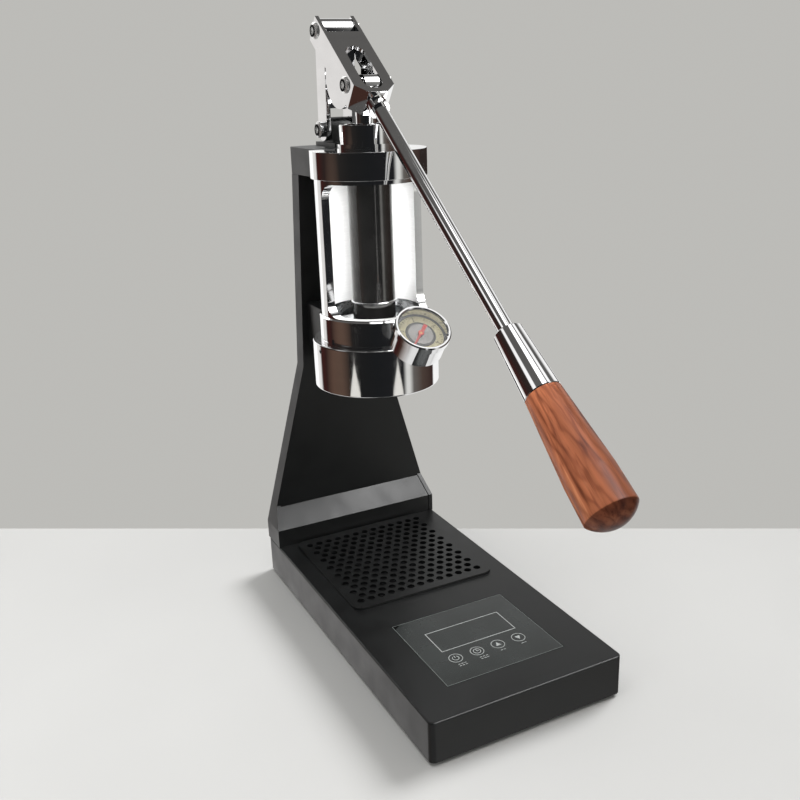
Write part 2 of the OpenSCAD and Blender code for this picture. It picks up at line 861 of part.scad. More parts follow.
module window_profile() {
    far = tube_r + 10;
    top = block_bottom - top_ring_h;
    translate([-far, rim_z]) square([far - window_edge - window_r, top - rim_z]);
    translate([-far, rim_z + window_r]) square([far - window_edge, top - rim_z - 2 * window_r]);
    for (z = [rim_z + window_r, top - window_r]) translate([-window_edge - window_r, z]) circle(window_r);
}

module cage_tube() {
    color(chrome) difference() {
        ring(tube_in_r, tube_r, tube_bottom, block_bottom, $fn = 128);
        side_profile(2 * tube_r + 4) window_profile();
        at_group_bolts() along_y(group_bolt_r + fix_clear, group_bolt_end - 0.5, tube_r);
    }
}

// Radial cylinder at the place of the lower ring's set screw on one side
module along_set_screw(side, r, r0, r1) {
    translate([0, 0, set_screw_z]) rotate([0, 0, side > 0 ? -set_screw_turn : 180 + set_screw_turn])
        along_x(r, r0, r1);
}

module group_collar() {
    color(chrome) difference() {
        union() {
            rotate_extrude($fn = 128) polygon([
                [tube_r + fix_clear, ring_top - collar_flange_h],
                [ring_cavity_r - fix_clear, ring_top - collar_flange_h],
                [ring_cavity_r - fix_clear, ring_top],
                [collar_r, ring_top],
                [collar_r, collar_top - 1],
                [collar_r - 1, collar_top],
                [tube_r + fix_clear, collar_top]
            ]);
            intersection() {
                translate([0, 0, elbow_z]) along_y(boss_r, -collar_r - boss_l, -tube_in_r);
                difference() {
                    translate([0, 0, ring_top]) cylinder(r = collar_r + boss_l + 1, h = rim_z - ring_top);
                    cylinder(r = tube_r + fix_clear, h = rim_z);
                }
            }
        }
        sector(collar_r - slot_depth, collar_r + 2, slot_z, slot_z + slot_h, slot_start, slot_angle);
        at_group_bolts() along_y(group_bolt_r + fix_clear, group_bolt_in, collar_r + 1);
        for (s = [-1, 1]) along_set_screw(s, set_screw_r + fix_clear, ring_cavity_r - 1.8, ring_cavity_r + 1);
        translate([0, 0, elbow_z]) along_y(gauge_stem_r - 1 + fix_clear, -collar_r - boss_l - 1, -tube_in_r);
    }
}

module chamber_sleeve() {
    out_r = tube_in_r - fix_clear;
    color(steel) rotate_extrude($fn = 128) polygon([
        [chamber_r, tube_bottom],
        [out_r, tube_bottom],
        [out_r, sleeve_top],
        [out_r - 1.5, sleeve_top],
        [chamber_r, sleeve_top - sleeve_cone_h]
    ]);
}

module shower_screen() {
    ring_holes = 8;
    hole = 0.9;
    color(steel) difference() {
        translate([0, 0, screen_z]) cylinder(r = tube_in_r - seat_clear, h = screen_t);
        for (k = [1 : 3], i = [0 : ring_holes * k - 1])
            rotate([0, 0, 360 * i / (ring_holes * k)]) translate([k * chamber_r / 3.6, 0, screen_z - 1])
                cylinder(r = hole, h = screen_t + 2, $fn = 16);
    }
}

module group_gasket() {
    color("#7d2f24") ring(chamber_r + 1, seat_r - 1.5, gasket_top - gasket_h, gasket_top);
}

module lock_ring() {
    color(chrome) difference() {
        rotate_extrude($fn = 128) polygon([
            [ring_r - 1, ring_bottom],
            [ring_r, ring_bottom + 1],
            [ring_r, ring_top - 0.6],
            [ring_r - 0.6, ring_top],
            [ring_cavity_r, ring_top],
            [ring_cavity_r, ring_floor],
            [tube_r + fix_clear, ring_floor],
            [tube_r + fix_clear, tube_bottom],
            [tube_in_r, tube_bottom],
            [tube_in_r, screen_z],
            [seat_lip_r, screen_z],
            [seat_lip_r, gasket_top],
            [ear_groove_r, gasket_top],
            [ear_groove_r, ring_bottom + ear_lip_h],
            [seat_r, ring_bottom + ear_lip_h],
            [seat_r, ring_bottom]
        ]);
        for (s = [0, 180])
            sector(seat_r - 1, ear_groove_r - 0.5, ring_bottom - 1, ring_bottom + ear_lip_h + 1,
                s - ear_slot_angle / 2, ear_slot_angle);
        for (s = [-1, 1]) along_set_screw(s, set_screw_r + fix_clear, ring_cavity_r - 1, ring_r + 1);
        translate([0, 0, lead_z]) along_y(lead_r + seat_clear, tube_r, ring_r + 1);
    }
}

module ring_set_screws() {
    color(steel) for (s = [-1, 1]) difference() {
        along_set_screw(s, set_screw_r, ring_cavity_r - 1.5, ring_r - 0.6);
        along_set_screw(s, set_screw_r / 2, ring_r - 2.5, ring_r + 1, $fn = 6);
    }
}

module heater_band() {
    gap_angle = 24;
    color(brass) sector(tube_r + fix_clear, tube_r + heater_wall, ring_floor + heater_gap_low,
        ring_top - collar_flange_h - heater_gap_top, 90 + gap_angle / 2, 360 - gap_angle);
    color(brass) translate([0, 0, lead_z]) intersection() {
        translate([-heater_tab_w / 2, tube_r - heater_tab_h, -heater_tab_h / 2])
            cube([heater_tab_w, 2 * heater_tab_h, heater_tab_h]);
        ring(tube_r + heater_wall - heater_tab_in, tube_r + heater_wall, -heater_tab_h / 2, heater_tab_h / 2);
    }
}

module temperature_probe() {
    color(steel) translate([0, 0, probe_z]) along_y(probe_r, collar_r + 0.2, column_front + column_wall + 4);
}

module heater_lead() {
    end_z = plate_z + 4;
    color(rubber) {
        translate([0, 0, lead_z]) along_y(lead_r, tube_r + heater_wall + 0.2, lead_y);
        translate([0, lead_y, lead_z]) sphere(lead_r);
        translate([0, lead_y, end_z]) cylinder(r = lead_r, h = lead_z - end_z);
    }
}

module guide_bush() {
    color(steel) difference() {
        union() {
            translate([0, 0, block_bottom]) cylinder(r = bush_r, h = bush_top - block_bottom);
            translate([0, 0, block_top]) cylinder(r = bush_flange_r, h = bush_flange_h);
        }
        translate([0, 0, block_bottom - 1])
            cylinder(r = rod_r + run_clear, h = bush_top - block_bottom + 2);
    }
}

// Linkage

module pivot_bracket() {
    color(black) difference() {
        union() {
            translate([-bracket_plate_half, pivot_y - bracket_reach, block_top])
                cube([2 * bracket_plate_half, 2 * bracket_reach, bracket_plate_t]);
            translate([-lug_half, pivot_y - lug_r, block_top])
                cube([2 * lug_half, 2 * lug_r, pivot_rise]);
            translate([0, pivot_y, pivot_z]) along_x(lug_r, -lug_half, lug_half);
        }
        translate([0, pivot_y, pivot_z]) along_x(pin_r + fix_clear, -lug_half - 1, lug_half + 1);
        at_bracket_screws() translate([0, 0, block_top - 1]) {
            cylinder(r = small_screw_r + fix_clear, h = bracket_plate_t + 2);
            translate([0, 0, bracket_plate_t + 1 - small_head_r + small_screw_r])
                cylinder(r1 = small_screw_r + fix_clear, r2 = small_head_r + fix_clear,
                    h = small_head_r - small_screw_r);
        }
    }
}

module bracket_screws() {
    cone = small_head_r - small_screw_r;
    color(steel) at_bracket_screws() translate([0, 0, block_top + bracket_plate_t]) {
        translate([0, 0, -cone]) cylinder(r1 = small_screw_r, r2 = small_head_r, h = cone);
        translate([0, 0, -10]) cylinder(r = small_screw_r, h = 10);
    }
}

module pivot_pin() {
    color(chrome) translate([0, pivot_y, pivot_z]) {
        along_x(pin_r, -link_half - washer_t, link_half + washer_t);
        translate([-link_half - washer_t, 0, 0]) pin_head();
        mirror([1, 0, 0]) translate([-link_half - washer_t, 0, 0]) pin_head();
    }
}

module pivot_washers() {
    color(steel) translate([0, pivot_y, pivot_z]) for (s = [0, 1]) mirror([s, 0, 0]) difference() {
        along_x(pin_head_r - 0.5, link_half + 0.1, link_half + washer_t);
        along_x(pin_r + fix_clear, link_half - 1, link_half + washer_t + 1);
    }
}

module rear_link() {
    fork_depth = 16;
    color(chrome) translate([0, pivot_y, pivot_z]) rotate([link_lean, 0, 0]) difference() {
        union() {
            translate([-link_half, -link_w / 2, 0]) cube([2 * link_half, link_w, link_l]);
            along_x(link_w / 2, -link_half, link_half);
            translate([0, 0, link_l]) along_x(link_top_r, -link_half, link_half);
        }
        translate([-fork_half, -link_w, -link_w]) cube([2 * fork_half, 2 * link_w, fork_depth + link_w]);
        along_x(pin_r + run_clear, -link_half - 1, link_half + 1);
        translate([0, 0, link_l]) along_x(pin_r + run_clear, -link_half - 1, link_half + 1);
    }
}

module head_outline() {
    polygon([
        [-head_half, head_rear], [head_half, head_rear],
        [head_half, -head_chamfer], [neck_r, -head_front],
        [-neck_r, -head_front], [-head_half, -head_chamfer]
    ]);
}

module channel_outline() {
    polygon([
        [-channel_half, head_rear + 1], [channel_half, head_rear + 1],
        [channel_half, -head_chamfer + 3], [top_slot_half, -top_slot_front],
        [-top_slot_half, -top_slot_front], [-channel_half, -head_chamfer + 3]
    ]);
}

module lever_head() {
    color(chrome) on_lever() difference() {
        union() {
            translate([0, 0, -head_drop]) linear_extrude(head_drop + head_rise) head_outline();
            intersection() {
                translate([0, lobe_y, lobe_z]) along_x(lobe_r, -head_half, head_half);
                translate([-head_half, -lobe_r, -lobe_r - 10])
                    cube([2 * head_half, 3 * lobe_r, lobe_r + 10 + head_rise / 2]);
            }
            along_y(neck_r, -neck_end, -head_front + 2);
        }
        translate([0, 0, -lobe_r - 10]) linear_extrude(lobe_r + 10 + head_rise - head_top_t) channel_outline();
        translate([-channel_half, head_open, 0])
            cube([2 * channel_half, head_rear - head_open + 1, head_rise + 1]);
        translate([0, (top_slot_rear - top_slot_front) / 2, 0]) linear_extrude(head_rise + 1)
            rotate([0, 0, 90]) stadium((top_slot_rear + top_slot_front) / 2 - top_slot_half, top_slot_half);
        translate([-eye_notch_half, -eye_notch_front, -head_drop - 1])
            cube([2 * eye_notch_half, eye_notch_front, head_drop + 1 + eye_notch_z]);
        along_y(lever_r + fix_clear, -neck_end - 1, -rod_in_head + 1);
        for (y = [0, pin_span]) translate([0, y, 0]) along_x(pin_r + fix_clear, -head_w, head_w);
    }
}

module lever_rod() {
    color(chrome) on_lever() along_y(lever_r, -grip_start - rod_in_grip, -rod_in_head);
}

// Turned piece round the lever's axis, drawn as radius against distance from the front pin
module turned() {
    on_lever() rotate([90, 0, 0]) rotate_extrude($fn = 96) children();
}

module lever_ferrule() {
    edge = 0.8;
    bore = lever_r + fix_clear;
    color(chrome) turned() polygon([
        [bore, ferrule_start],
        [ferrule_r - edge, ferrule_start],
        [ferrule_r, ferrule_start + edge],
        [grip_start_r, grip_start - edge],
        [grip_start_r - edge / 2, grip_start],
        [bore, grip_start]
    ]);
}

module lever_handle() {
    bore = lever_r + fix_clear;
    steps = 24;
    end_arc = [for (a = [0 : 10 : grip_turn])
        [grip_r - grip_end_r + grip_end_r * cos(a), grip_shoulder + grip_end_r * sin(a)]];
    dome = [for (i = [1 : steps]) let (a = grip_sweep * (1 - i / steps))
        [grip_ball * sin(a), grip_end - grip_ball + grip_ball * cos(a)]];
    color(wood) turned() polygon(concat(
        [[bore, grip_start], [grip_start_r, grip_start], [grip_r - 0.6, grip_end - grip_taper]],
        end_arc,
        dome,
        [[0, grip_start + rod_in_grip + 1], [bore, grip_start + rod_in_grip + 1]]
    ));
}

module lever_pin(y) {
    on_lever() translate([0, y, 0]) {
        along_x(pin_r, -head_half, head_half + pin_nut_h - 0.5);
        translate([-head_half, 0, 0]) pin_head();
    }
}

module link_pin() {
    color(chrome) lever_pin(pin_span);
}

module yoke_pin() {
    color(chrome) lever_pin(0);
}

module pin_nuts() {
    color(chrome) on_lever() for (y = [0, pin_span]) translate([0, y, 0]) difference() {
        translate([head_half, 0, 0]) rotate([0, 90, 0]) cylinder(r = pin_head_r, h = pin_nut_h, $fn = 6);
        along_x(pin_r + fix_clear, head_half - 1, head_half + pin_nut_h - 0.5 + fix_clear);
    }
}

// Plunger

module plunger_rod() {
    groove = 0.5;
    color(chrome) rotate_extrude($fn = 96) polygon([
        [rod_bore_r, piston_top],
        [rod_r, piston_top],
        [rod_r, rod_groove_z],
        [rod_r - groove, rod_groove_z + groove],
        [rod_r, rod_groove_z + 2 * groove],
        [rod_r, rod_top - 1],
        [rod_r - 1, rod_top],
        [rod_bore_r, rod_top]
    ]);
}

module plunger_yoke() {
    color(chrome) difference() {
        union() {
            translate([0, 0, rod_top - yoke_spigot_h]) cylinder(r = rod_bore_r - fix_clear, h = yoke_spigot_h);
            translate([0, 0, rod_top]) cylinder(r = rod_r - 2, h = yoke_flange_h);
            translate([0, 0, rod_top]) cylinder(r = stem_r, h = pin_c_z - rod_top - slot_r);
            translate([0, 0, pin_c_z]) side_profile(eye_t) stadium(slot_reach, eye_r);
        }
        translate([0, 0, pin_c_z]) side_profile(eye_t + 10) stadium(slot_reach, slot_r);
    }
}

module at_seals() {
    for (k = [0.25, 0.72]) translate([0, 0, piston_z + k * piston_h - seal_h / 2]) children();
}

module piston() {
    color(steel) difference() {
        union() {
            translate([0, 0, piston_z]) cylinder(r = piston_r, h = piston_h, $fn = 128);
            translate([0, 0, piston_top]) cylinder(r = rod_bore_r - fix_clear, h = piston_boss_h);
        }
        at_seals() ring(piston_r - seal_depth, piston_r + 1, 0, seal_h + 0.2);
        translate([0, 0, piston_z - 1]) cylinder(r = 4 + fix_clear, h = piston_h + piston_boss_h + 2);
        translate([0, 0, piston_z - 1]) cylinder(r = 7.2, h = 6);
    }
}

module piston_seals() {
    color(rubber) at_seals() translate([0, 0, 0.1])
        ring(piston_r - seal_depth + fix_clear, chamber_r - run_clear, 0, seal_h);
}

module piston_bolt() {
    color(steel) difference() {
        translate([0, 0, piston_z + 0.4]) {
            cylinder(r = 6.5, h = 4.6);
            cylinder(r = 4, h = piston_h + piston_boss_h - 2);
        }
        translate([0, 0, piston_z - 1]) cylinder(r = 3, h = 4, $fn = 6);
    }
}

// Gauge

module gauge_adapter() {
    stem_end = -collar_r - boss_l;
    color(steel) {
        translate([0, 0, elbow_z]) along_y(gauge_stem_r - 1, stem_end - 1, -tube_r - 0.4);
        translate([0, 0, elbow_z]) along_y(gauge_stem_r, elbow_y, stem_end);
        translate([0, elbow_y, elbow_z]) sphere(gauge_stem_r + elbow_swell);
        on_gauge() translate([0, 0, -gauge_d - elbow_gap]) cylinder(r = gauge_stem_r, h = elbow_gap + neck_in);
    }
}

module gauge_case() {
    floor_t = 1.5;
    color(chrome) on_gauge() difference() {
        translate([0, 0, -gauge_d]) cylinder(r = gauge_case_r, h = gauge_d - lens_t - 0.6, $fn = 96);
        translate([0, 0, -gauge_d + floor_t]) cylinder(r = gauge_in_r, h = gauge_d, $fn = 96);
        translate([0, 0, -gauge_d - 1]) cylinder(r = gauge_stem_r + fix_clear, h = floor_t + 2);
    }
}

module gauge_bezel() {
    lip = 2.6;
    color(chrome) on_gauge() rotate_extrude($fn = 96) polygon([
        [gauge_case_r + fix_clear, -bezel_h],
        [gauge_r - 0.6, -bezel_h],
        [gauge_r, -bezel_h + 0.6],
        [gauge_r, -0.8],
        [gauge_r - 0.8, 0],
        [gauge_r - lip + 0.6, 0],
        [gauge_r - lip, -0.6],
        [gauge_case_r + fix_clear, -0.6]
    ]);
}

module gauge_lens() {
    color("#dfe8ea") on_gauge() translate([0, 0, -lens_t - 0.6]) cylinder(r = gauge_case_r, h = lens_t);
}

module gauge_dial() {
    color("#d8cda6") on_gauge() translate([0, 0, dial_z]) difference() {
        cylinder(r = gauge_in_r - 0.05, h = 0.8);
        translate([0, 0, -1]) cylinder(r = shaft_r + 0.3, h = 3);
    }
}

module gauge_movement() {
    body_r = 9;
    foot = -gauge_d + 4.5;
    color(brass) on_gauge() {
        translate([0, 0, foot]) cylinder(r = body_r, h = dial_z - foot);
        translate([0, 0, -gauge_d + neck_in]) cylinder(r = gauge_stem_r, h = 4.5 - neck_in);
        translate([0, 0, dial_z - 1]) cylinder(r = shaft_r, h = needle_z + needle_t - dial_z + 1);
    }
}

module gauge_needle() {
    tip = gauge_in_r * 0.78;
    tail = gauge_in_r * 0.5;
    color("#c22a22") on_gauge() translate([0, 0, needle_z]) difference() {
        union() {
            cylinder(r = 2.2, h = needle_t);
            rotate([0, 0, needle_turn]) linear_extrude(needle_t)
                polygon([[-0.5, tip], [0.5, tip], [1, 0], [1.5, -tail], [-1.5, -tail], [-1, 0]]);
        }
        translate([0, 0, -1]) cylinder(r = shaft_r + run_clear, h = 3);
    }
}

// Origin under the middle of the part's footprint, on the table
module placed() {
    translate([0, -origin_y, 0]) children();
}

placed() base_housing();
placed() base_bottom_plate();
placed() bottom_screws();
placed() rubber_feet();
placed() control_panel();
placed() display_module();
placed() control_board();
placed() board_standoffs();
placed() board_screws();
placed() power_module();
placed() power_inlet();
placed() drip_tray();
placed() drip_grid();
placed() column_shell();
placed() column_rear_cover();
placed() rear_cover_screws();
placed() column_screws();
placed() top_arm();
placed() arm_bolts();
placed() arm_screws();
placed() group_bracket();
placed() group_bolts();
placed() upper_block();
placed() cage_tube();
placed() group_collar();
placed() chamber_sleeve();
placed() shower_screen();
placed() group_gasket();
placed() lock_ring();
placed() ring_set_screws();
placed() heater_band();
placed() temperature_probe();
placed() heater_lead();
placed() guide_bush();
placed() pivot_bracket();
placed() bracket_screws();
placed() pivot_pin();
placed() pivot_washers();
placed() rear_link();
placed() lever_head();
placed() lever_rod();
placed() lever_ferrule();
placed() lever_handle();
placed() link_pin();
placed() yoke_pin();
placed() pin_nuts();
placed() plunger_rod();
placed() plunger_yoke();
placed() piston();
placed() piston_seals();
placed() piston_bolt();
placed() gauge_adapter();
placed() gauge_case();
placed() gauge_bezel();
placed() gauge_lens();
placed() gauge_dial();
placed() gauge_movement();
placed() gauge_needle();
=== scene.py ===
"""Looks of a lever espresso maker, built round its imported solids."""
import json
import math
from typing import NamedTuple

import bmesh
import bpy
from bpy.props import FloatProperty, FloatVectorProperty, PointerProperty
from bpy.types import Operator, Panel, PropertyGroup
from mathutils import Matrix, Vector


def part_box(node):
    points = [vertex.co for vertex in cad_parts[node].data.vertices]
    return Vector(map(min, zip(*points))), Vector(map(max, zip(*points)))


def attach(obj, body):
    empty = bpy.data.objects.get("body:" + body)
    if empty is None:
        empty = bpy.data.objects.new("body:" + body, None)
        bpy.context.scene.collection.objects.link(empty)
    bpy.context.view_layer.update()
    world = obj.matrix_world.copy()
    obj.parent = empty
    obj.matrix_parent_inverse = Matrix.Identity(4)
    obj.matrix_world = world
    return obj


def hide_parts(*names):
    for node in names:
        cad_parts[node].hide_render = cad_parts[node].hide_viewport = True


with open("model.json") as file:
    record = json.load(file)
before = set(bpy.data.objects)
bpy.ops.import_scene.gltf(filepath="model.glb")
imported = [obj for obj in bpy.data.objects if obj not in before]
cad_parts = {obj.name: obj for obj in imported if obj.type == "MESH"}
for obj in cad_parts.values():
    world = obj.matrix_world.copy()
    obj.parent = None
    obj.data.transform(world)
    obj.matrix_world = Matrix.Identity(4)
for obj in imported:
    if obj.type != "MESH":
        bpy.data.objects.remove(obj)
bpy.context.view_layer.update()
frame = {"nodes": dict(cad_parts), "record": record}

bl_info = {
    "name": "Lever Espresso Maker",
    "version": (1, 0, 0),
    "blender": (4, 5, 0),
    "location": "View3D > Sidebar > Espresso",
    "description": "Finishes, small details and stage of a lever espresso maker",
    "category": "Object",
}

RECORD = frame["record"]
BODY_OF = {node: body for body, nodes in RECORD["behaviour"]["bodies"].items() for node in nodes}
SLOT_OF = {row["node"]: row["material_slot"] for row in RECORD["subparts"]}
JOINTS = {joint["name"]: joint for joint in RECORD["behaviour"]["joints"]}
WHITE = (1.0, 1.0, 1.0)
BLACK = (0.0, 0.0, 0.0)

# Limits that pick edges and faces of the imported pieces, in metres, degrees or parts of a unit normal
WELD = 1e-6
FLAT_DEGREES = 0.4
SHARP_DEGREES = 35.0
SMOOTH_DEGREES = 32.0
LEVEL_SLACK = 1e-5  # below the base's top face
LONG_EDGE = 0.008  # shorter edges of the column and the arm stay sharp
SHORT_EDGE = 0.004  # shorter edges of the group's bracket and the lever's head stay sharp
WINDOW_RISE = 0.03  # the window's edges lie higher than this above the cage tube's foot
# The lining is the near-white painted reflection inside the cage tube
LINING_INSET = 0.004  # the lining lies further inside the cage tube than this
RIM_SLACK = 0.0015  # above or below the cup's rim
FACING_IN = -0.7
FACING_UP = 0.5
RING_END = 0.002  # from the lock ring's top or underside
RING_WALL = 0.0045  # from the lock ring's outer face
BUSH_END = 0.0015  # from the bush's top


# Settings

def length(name, description, default):
    return FloatProperty(name=name, description=description, default=default, unit="LENGTH", precision=5)


def share(name, description, default):
    return FloatProperty(name=name, description=description, default=default, subtype="FACTOR",
                         soft_min=0.0, soft_max=2.0)


def angle(name, description, degrees):
    return FloatProperty(name=name, description=description, default=math.radians(degrees), subtype="ANGLE")


def watts(name, description, default):
    return FloatProperty(name=name, description=description, default=default, unit="POWER")


def colour(name, description, default):
    return FloatVectorProperty(name=name, description=description, default=default, subtype="COLOR",
                               size=3, min=0.0, max=1.0)


def spot(name, description, default):
    return FloatVectorProperty(name=name, description=description, default=default, subtype="TRANSLATION",
                               precision=5)


def extent(name, description, default):
    return FloatVectorProperty(name=name, description=description, default=default, unit="LENGTH", size=2)


class MakerSizes(PropertyGroup):
    """Sizes of the rounded edges and the small details"""
    sheet_edge: length("Sheet edge", "Rounding of the base's upper outer edges", 0.0012)
    rim_inset: length("Rim inset", "Width of the strip round the base that holds those edges", 0.0050)
    shell_edge: length("Shell edge", "Rounding of the column's edges", 0.0005)
    block_edge: length("Block edge", "Rounding of the top arm's and the group bracket's edges", 0.0008)
    block_round: length("Block rounding", "Rounding of the top block's edges", 0.0016)
    tube_edge: length("Tube edge", "Rounding of the cage tube's window", 0.0010)
    turned_edge: length("Turned edge", "Rounding of the ring's and the bush's edges", 0.0007)
    lever_edge: length("Lever edge", "Rounding of the lever head's and the link's edges", 0.0006)
    fine_edge: length("Fine edge", "Rounding of the panel's and the grid's edges", 0.0003)
    # The lining is the near-white painted reflection inside the cage tube; the rim's upper faces get the
    # same white as a painted highlight
    lining_rise: length("Lining rise", "Height of the lining's lower edge above the collar", 0.0015)
    rim_drop: length("Rim drop", "Depth of the cup's rim below that edge", 0.0010)
    bead_radius: length("Bead radius", "Radius of the bead round the plunger rod", 0.0009)
    bead_rise: length("Bead rise", "Height of that bead above the lining's lower edge", 0.0060)
    # A pin's groove is a flat dark ring of painted socket shade on its head
    groove_reach: share("Groove reach", "Radius of a pin's groove, as a share of its head's", 0.58)
    groove_width: share("Groove width", "Width of that groove, as a share of the head's radius", 0.30)
    lever_angle: angle("Lever angle", "Angle of the lever below the horizontal", 37.5)
    print_height: length("Print height", "Thickness of the panel's print and the pins' grooves", 0.00006)
    print_line: length("Printed line", "Width of the printed window's lines", 0.0006)
    key_line: length("Key line", "Width of the line round a key", 0.00045)
    sign_line: length("Sign line", "Width of the lines in the keys' signs", 0.00048)
    mark_line: length("Mark line", "Width of the short bars under the keys", 0.00054)
    # Painted highlight: the line round the film stands in for light on its edges
    border_line: length("Border line", "Width of the line round the panel's film", 0.0005)
    corner_clip: length("Corner clip", "Width of the film's clipped corner", 0.0060)
    corner_drop: length("Corner drop", "Length of that corner along the film's side", 0.0042)
    window_width: length("Window width", "Width of the printed window", 0.0604)
    window_length: length("Window length", "Length of the printed window", 0.0248)
    window_shift: length("Window shift", "Distance of the window behind the panel's middle", 0.0077)
    key_pitch: length("Key pitch", "Distance between the printed keys", 0.0171)
    key_radius: length("Key radius", "Radius of a printed key", 0.0048)
    key_shift: length("Key shift", "Distance of the keys in front of the panel's middle", 0.0156)
    dial_depth: length("Dial depth", "Depth of the dial's face behind the bezel's face", 0.0078)
    dial_middle: length("Dial middle", "Radius of the dial's black middle", 0.0112)
    dial_height: length("Dial height", "Thickness of the black middle", 0.00025)
    plate_reach: share("Plate reach", "Radius of the metal plate, as a share of the middle's", 0.82)
    plate_rise: length("Plate rise", "Height of the metal plate above the dial's face", 0.00027)
    plate_height: length("Plate height", "Thickness of the metal plate", 0.0002)
    scale_height: length("Scale height", "Thickness of the printed scale", 0.00012)
    scale_reach: share("Scale reach", "Outer radius of the ticks, as a share of the middle's", 1.46)
    scale_start: angle("Scale start", "Direction of the scale's zero", 225)
    scale_sweep: angle("Scale sweep", "Turn from the scale's zero to its end", 270)
    tick_long: length("Long tick", "Length of a long tick", 0.0022)
    tick_short: length("Short tick", "Length of a short tick", 0.0012)
    tick_bold: length("Bold tick", "Width of a long tick", 0.0004)
    tick_fine: length("Fine tick", "Width of a short tick", 0.0002)
    digit_reach: share("Digit reach", "Radius of the numerals, as a share of the ticks'", 0.78)
    digit_size: length("Digit size", "Size of the numerals", 0.0026)
    # Painted shadow: a black ring at the dial's rim where the bezel and lens shade it
    scale_rim: share("Scale rim", "Radius of the line round the scale, as a share of the middle's", 1.56)
    scale_line: length("Scale line", "Width of that line", 0.0010)


class MakerColours(PropertyGroup):
    """Colours of the finishes"""
    powder: colour("Powder coat", "Black powder coat", (0.0072, 0.0078, 0.0080))
    chrome: colour("Chrome", "Polished steel", (0.84, 0.84, 0.845))
    # Painted reflection: near-white colour for the polished inside of the cage tube, also a painted
    # highlight on the cup's rim
    lining: colour("Lining", "Bright inside of the cage", (0.93, 0.93, 0.925))
    steel: colour("Steel", "Machined steel", (0.56, 0.57, 0.58))
    pins: colour("Pins", "Satin steel of the pins", (0.74, 0.74, 0.73))
    # Painted shade: the rod's chrome colour is darkened to stand in for dark reflections
    rod: colour("Plunger rod", "Dark chrome of the plunger rod", (0.16, 0.158, 0.155))
    wood_dark: colour("Dark wood", "Dark lines of the handle", (0.150, 0.042, 0.021))
    wood_mid: colour("Wood", "Main colour of the handle", (0.45, 0.145, 0.068))
    wood_light: colour("Light wood", "Light bands of the handle", (0.66, 0.27, 0.135))
    panel: colour("Panel", "Film of the control panel", (0.022, 0.027, 0.0262))
    print_ink: colour("Print", "Printed lines of the panel", (0.62, 0.65, 0.65))
    # Painted highlight: grey line standing in for light on the film's edges
    border: colour("Border", "Line round the panel's film", (0.17, 0.19, 0.185))
    # Painted socket shade on the pins' heads, and the real black under the film's clipped corner
    gap: colour("Gap", "Pins' grooves and the film's clipped corner", (0.005, 0.005, 0.005))
    display: colour("Display", "Display behind the panel", (0.012, 0.015, 0.018))
    dial: colour("Dial", "Ring of the gauge's dial", (0.66, 0.60, 0.36))
    dial_print: colour("Dial print", "Black middle and scale of the dial", (0.012, 0.011, 0.010))
    dial_plate: colour("Dial plate", "Metal plate of the dial", (0.32, 0.31, 0.30))
    glass: colour("Glass", "Lens of the gauge", (0.98, 0.99, 1.0))
    needle: colour("Needle", "Needle of the gauge", (0.62, 0.028, 0.022))
    rubber: colour("Rubber", "Feet, piston seals and heater lead", (0.018, 0.018, 0.018))
    gasket: colour("Gasket", "Gasket of the brew group", (0.22, 0.035, 0.025))
    plastic: colour("Plastic", "Power module and inlet", (0.022, 0.022, 0.024))
    # Painted shade: the tray is darkened so the grid's holes look shaded
    tray: colour("Tray", "Drip tray", (0.035, 0.035, 0.037))
    brass: colour("Brass", "Inner brass pieces", (0.60, 0.42, 0.15))
    board: colour("Board", "Circuit board", (0.02, 0.12, 0.05))
    floor: colour("Floor", "Table top", (0.458, 0.458, 0.453))
    wall: colour("Wall", "Background", (0.505, 0.500, 0.478))


class MakerStage(PropertyGroup):
    """Camera, lights and table"""
    lens: FloatProperty(name="Lens", description="Focal length", default=42.04, unit="CAMERA")
    sensor: FloatProperty(name="Sensor", description="Width of the sensor", default=36.0, unit="CAMERA")
    eye: spot("Eye", "Place of the camera", (-0.30025, -0.53151, 0.40725))
    turn: FloatVectorProperty(name="Turn", description="Turn of the camera", subtype="EULER", precision=5,
                              default=(math.radians(71.29), math.radians(1.80), math.radians(-27.11)))
    aim: spot("Aim", "Point that the top and left lights face", (0.0, 0.05, 0.2))
    top_spot: spot("Top light's place", "Place of the top light", (-0.35, -0.05, 1.30))
    top_size: extent("Top light's size", "Width and height of the top light", (1.0, 0.8))
    top_power: watts("Top light", "Power of the top light", 6.6)
    left_spot: spot("Left light's place", "Place of the left light", (-1.15, -0.25, 0.60))
    left_size: extent("Left light's size", "Width and height of the left light", (0.5, 0.9))
    left_power: watts("Left light", "Power of the left light", 3.0)
    cage_aim: spot("Cage light's aim", "Point that the light into the cage faces", (0.0, 0.125, 0.295))
    cage_spot: spot("Cage light's place", "Place of the light into the cage", (-0.12, -0.45, 0.36))
    cage_size: extent("Cage light's size", "Width and height of the light into the cage", (0.5, 0.3))
    cage_power: watts("Cage light", "Power of the light into the cage", 12.0)
    table_power: FloatProperty(name="Table light", description="Strength of the light on the table",
                               default=3.8)
    table_way: FloatVectorProperty(name="Table light's way", description="Direction of that light",
                                   default=(-0.80, -0.18, -0.72), subtype="DIRECTION", precision=3)
    table_soft: angle("Table light's softness", "Width of the light on the table", 26)
    table_reach: length("Table reach", "Distance of the table's other edges from the origin", 2.5)
    table_back: length("Table back", "Distance of the table's back edge behind the origin", 0.203)
    table_turn: angle("Table turn", "Turn of the table's back edge", -30.7)
    studio_turn: angle("Studio turn", "Turn that puts the studio's dark side behind the camera", 26.5)


# Finishes

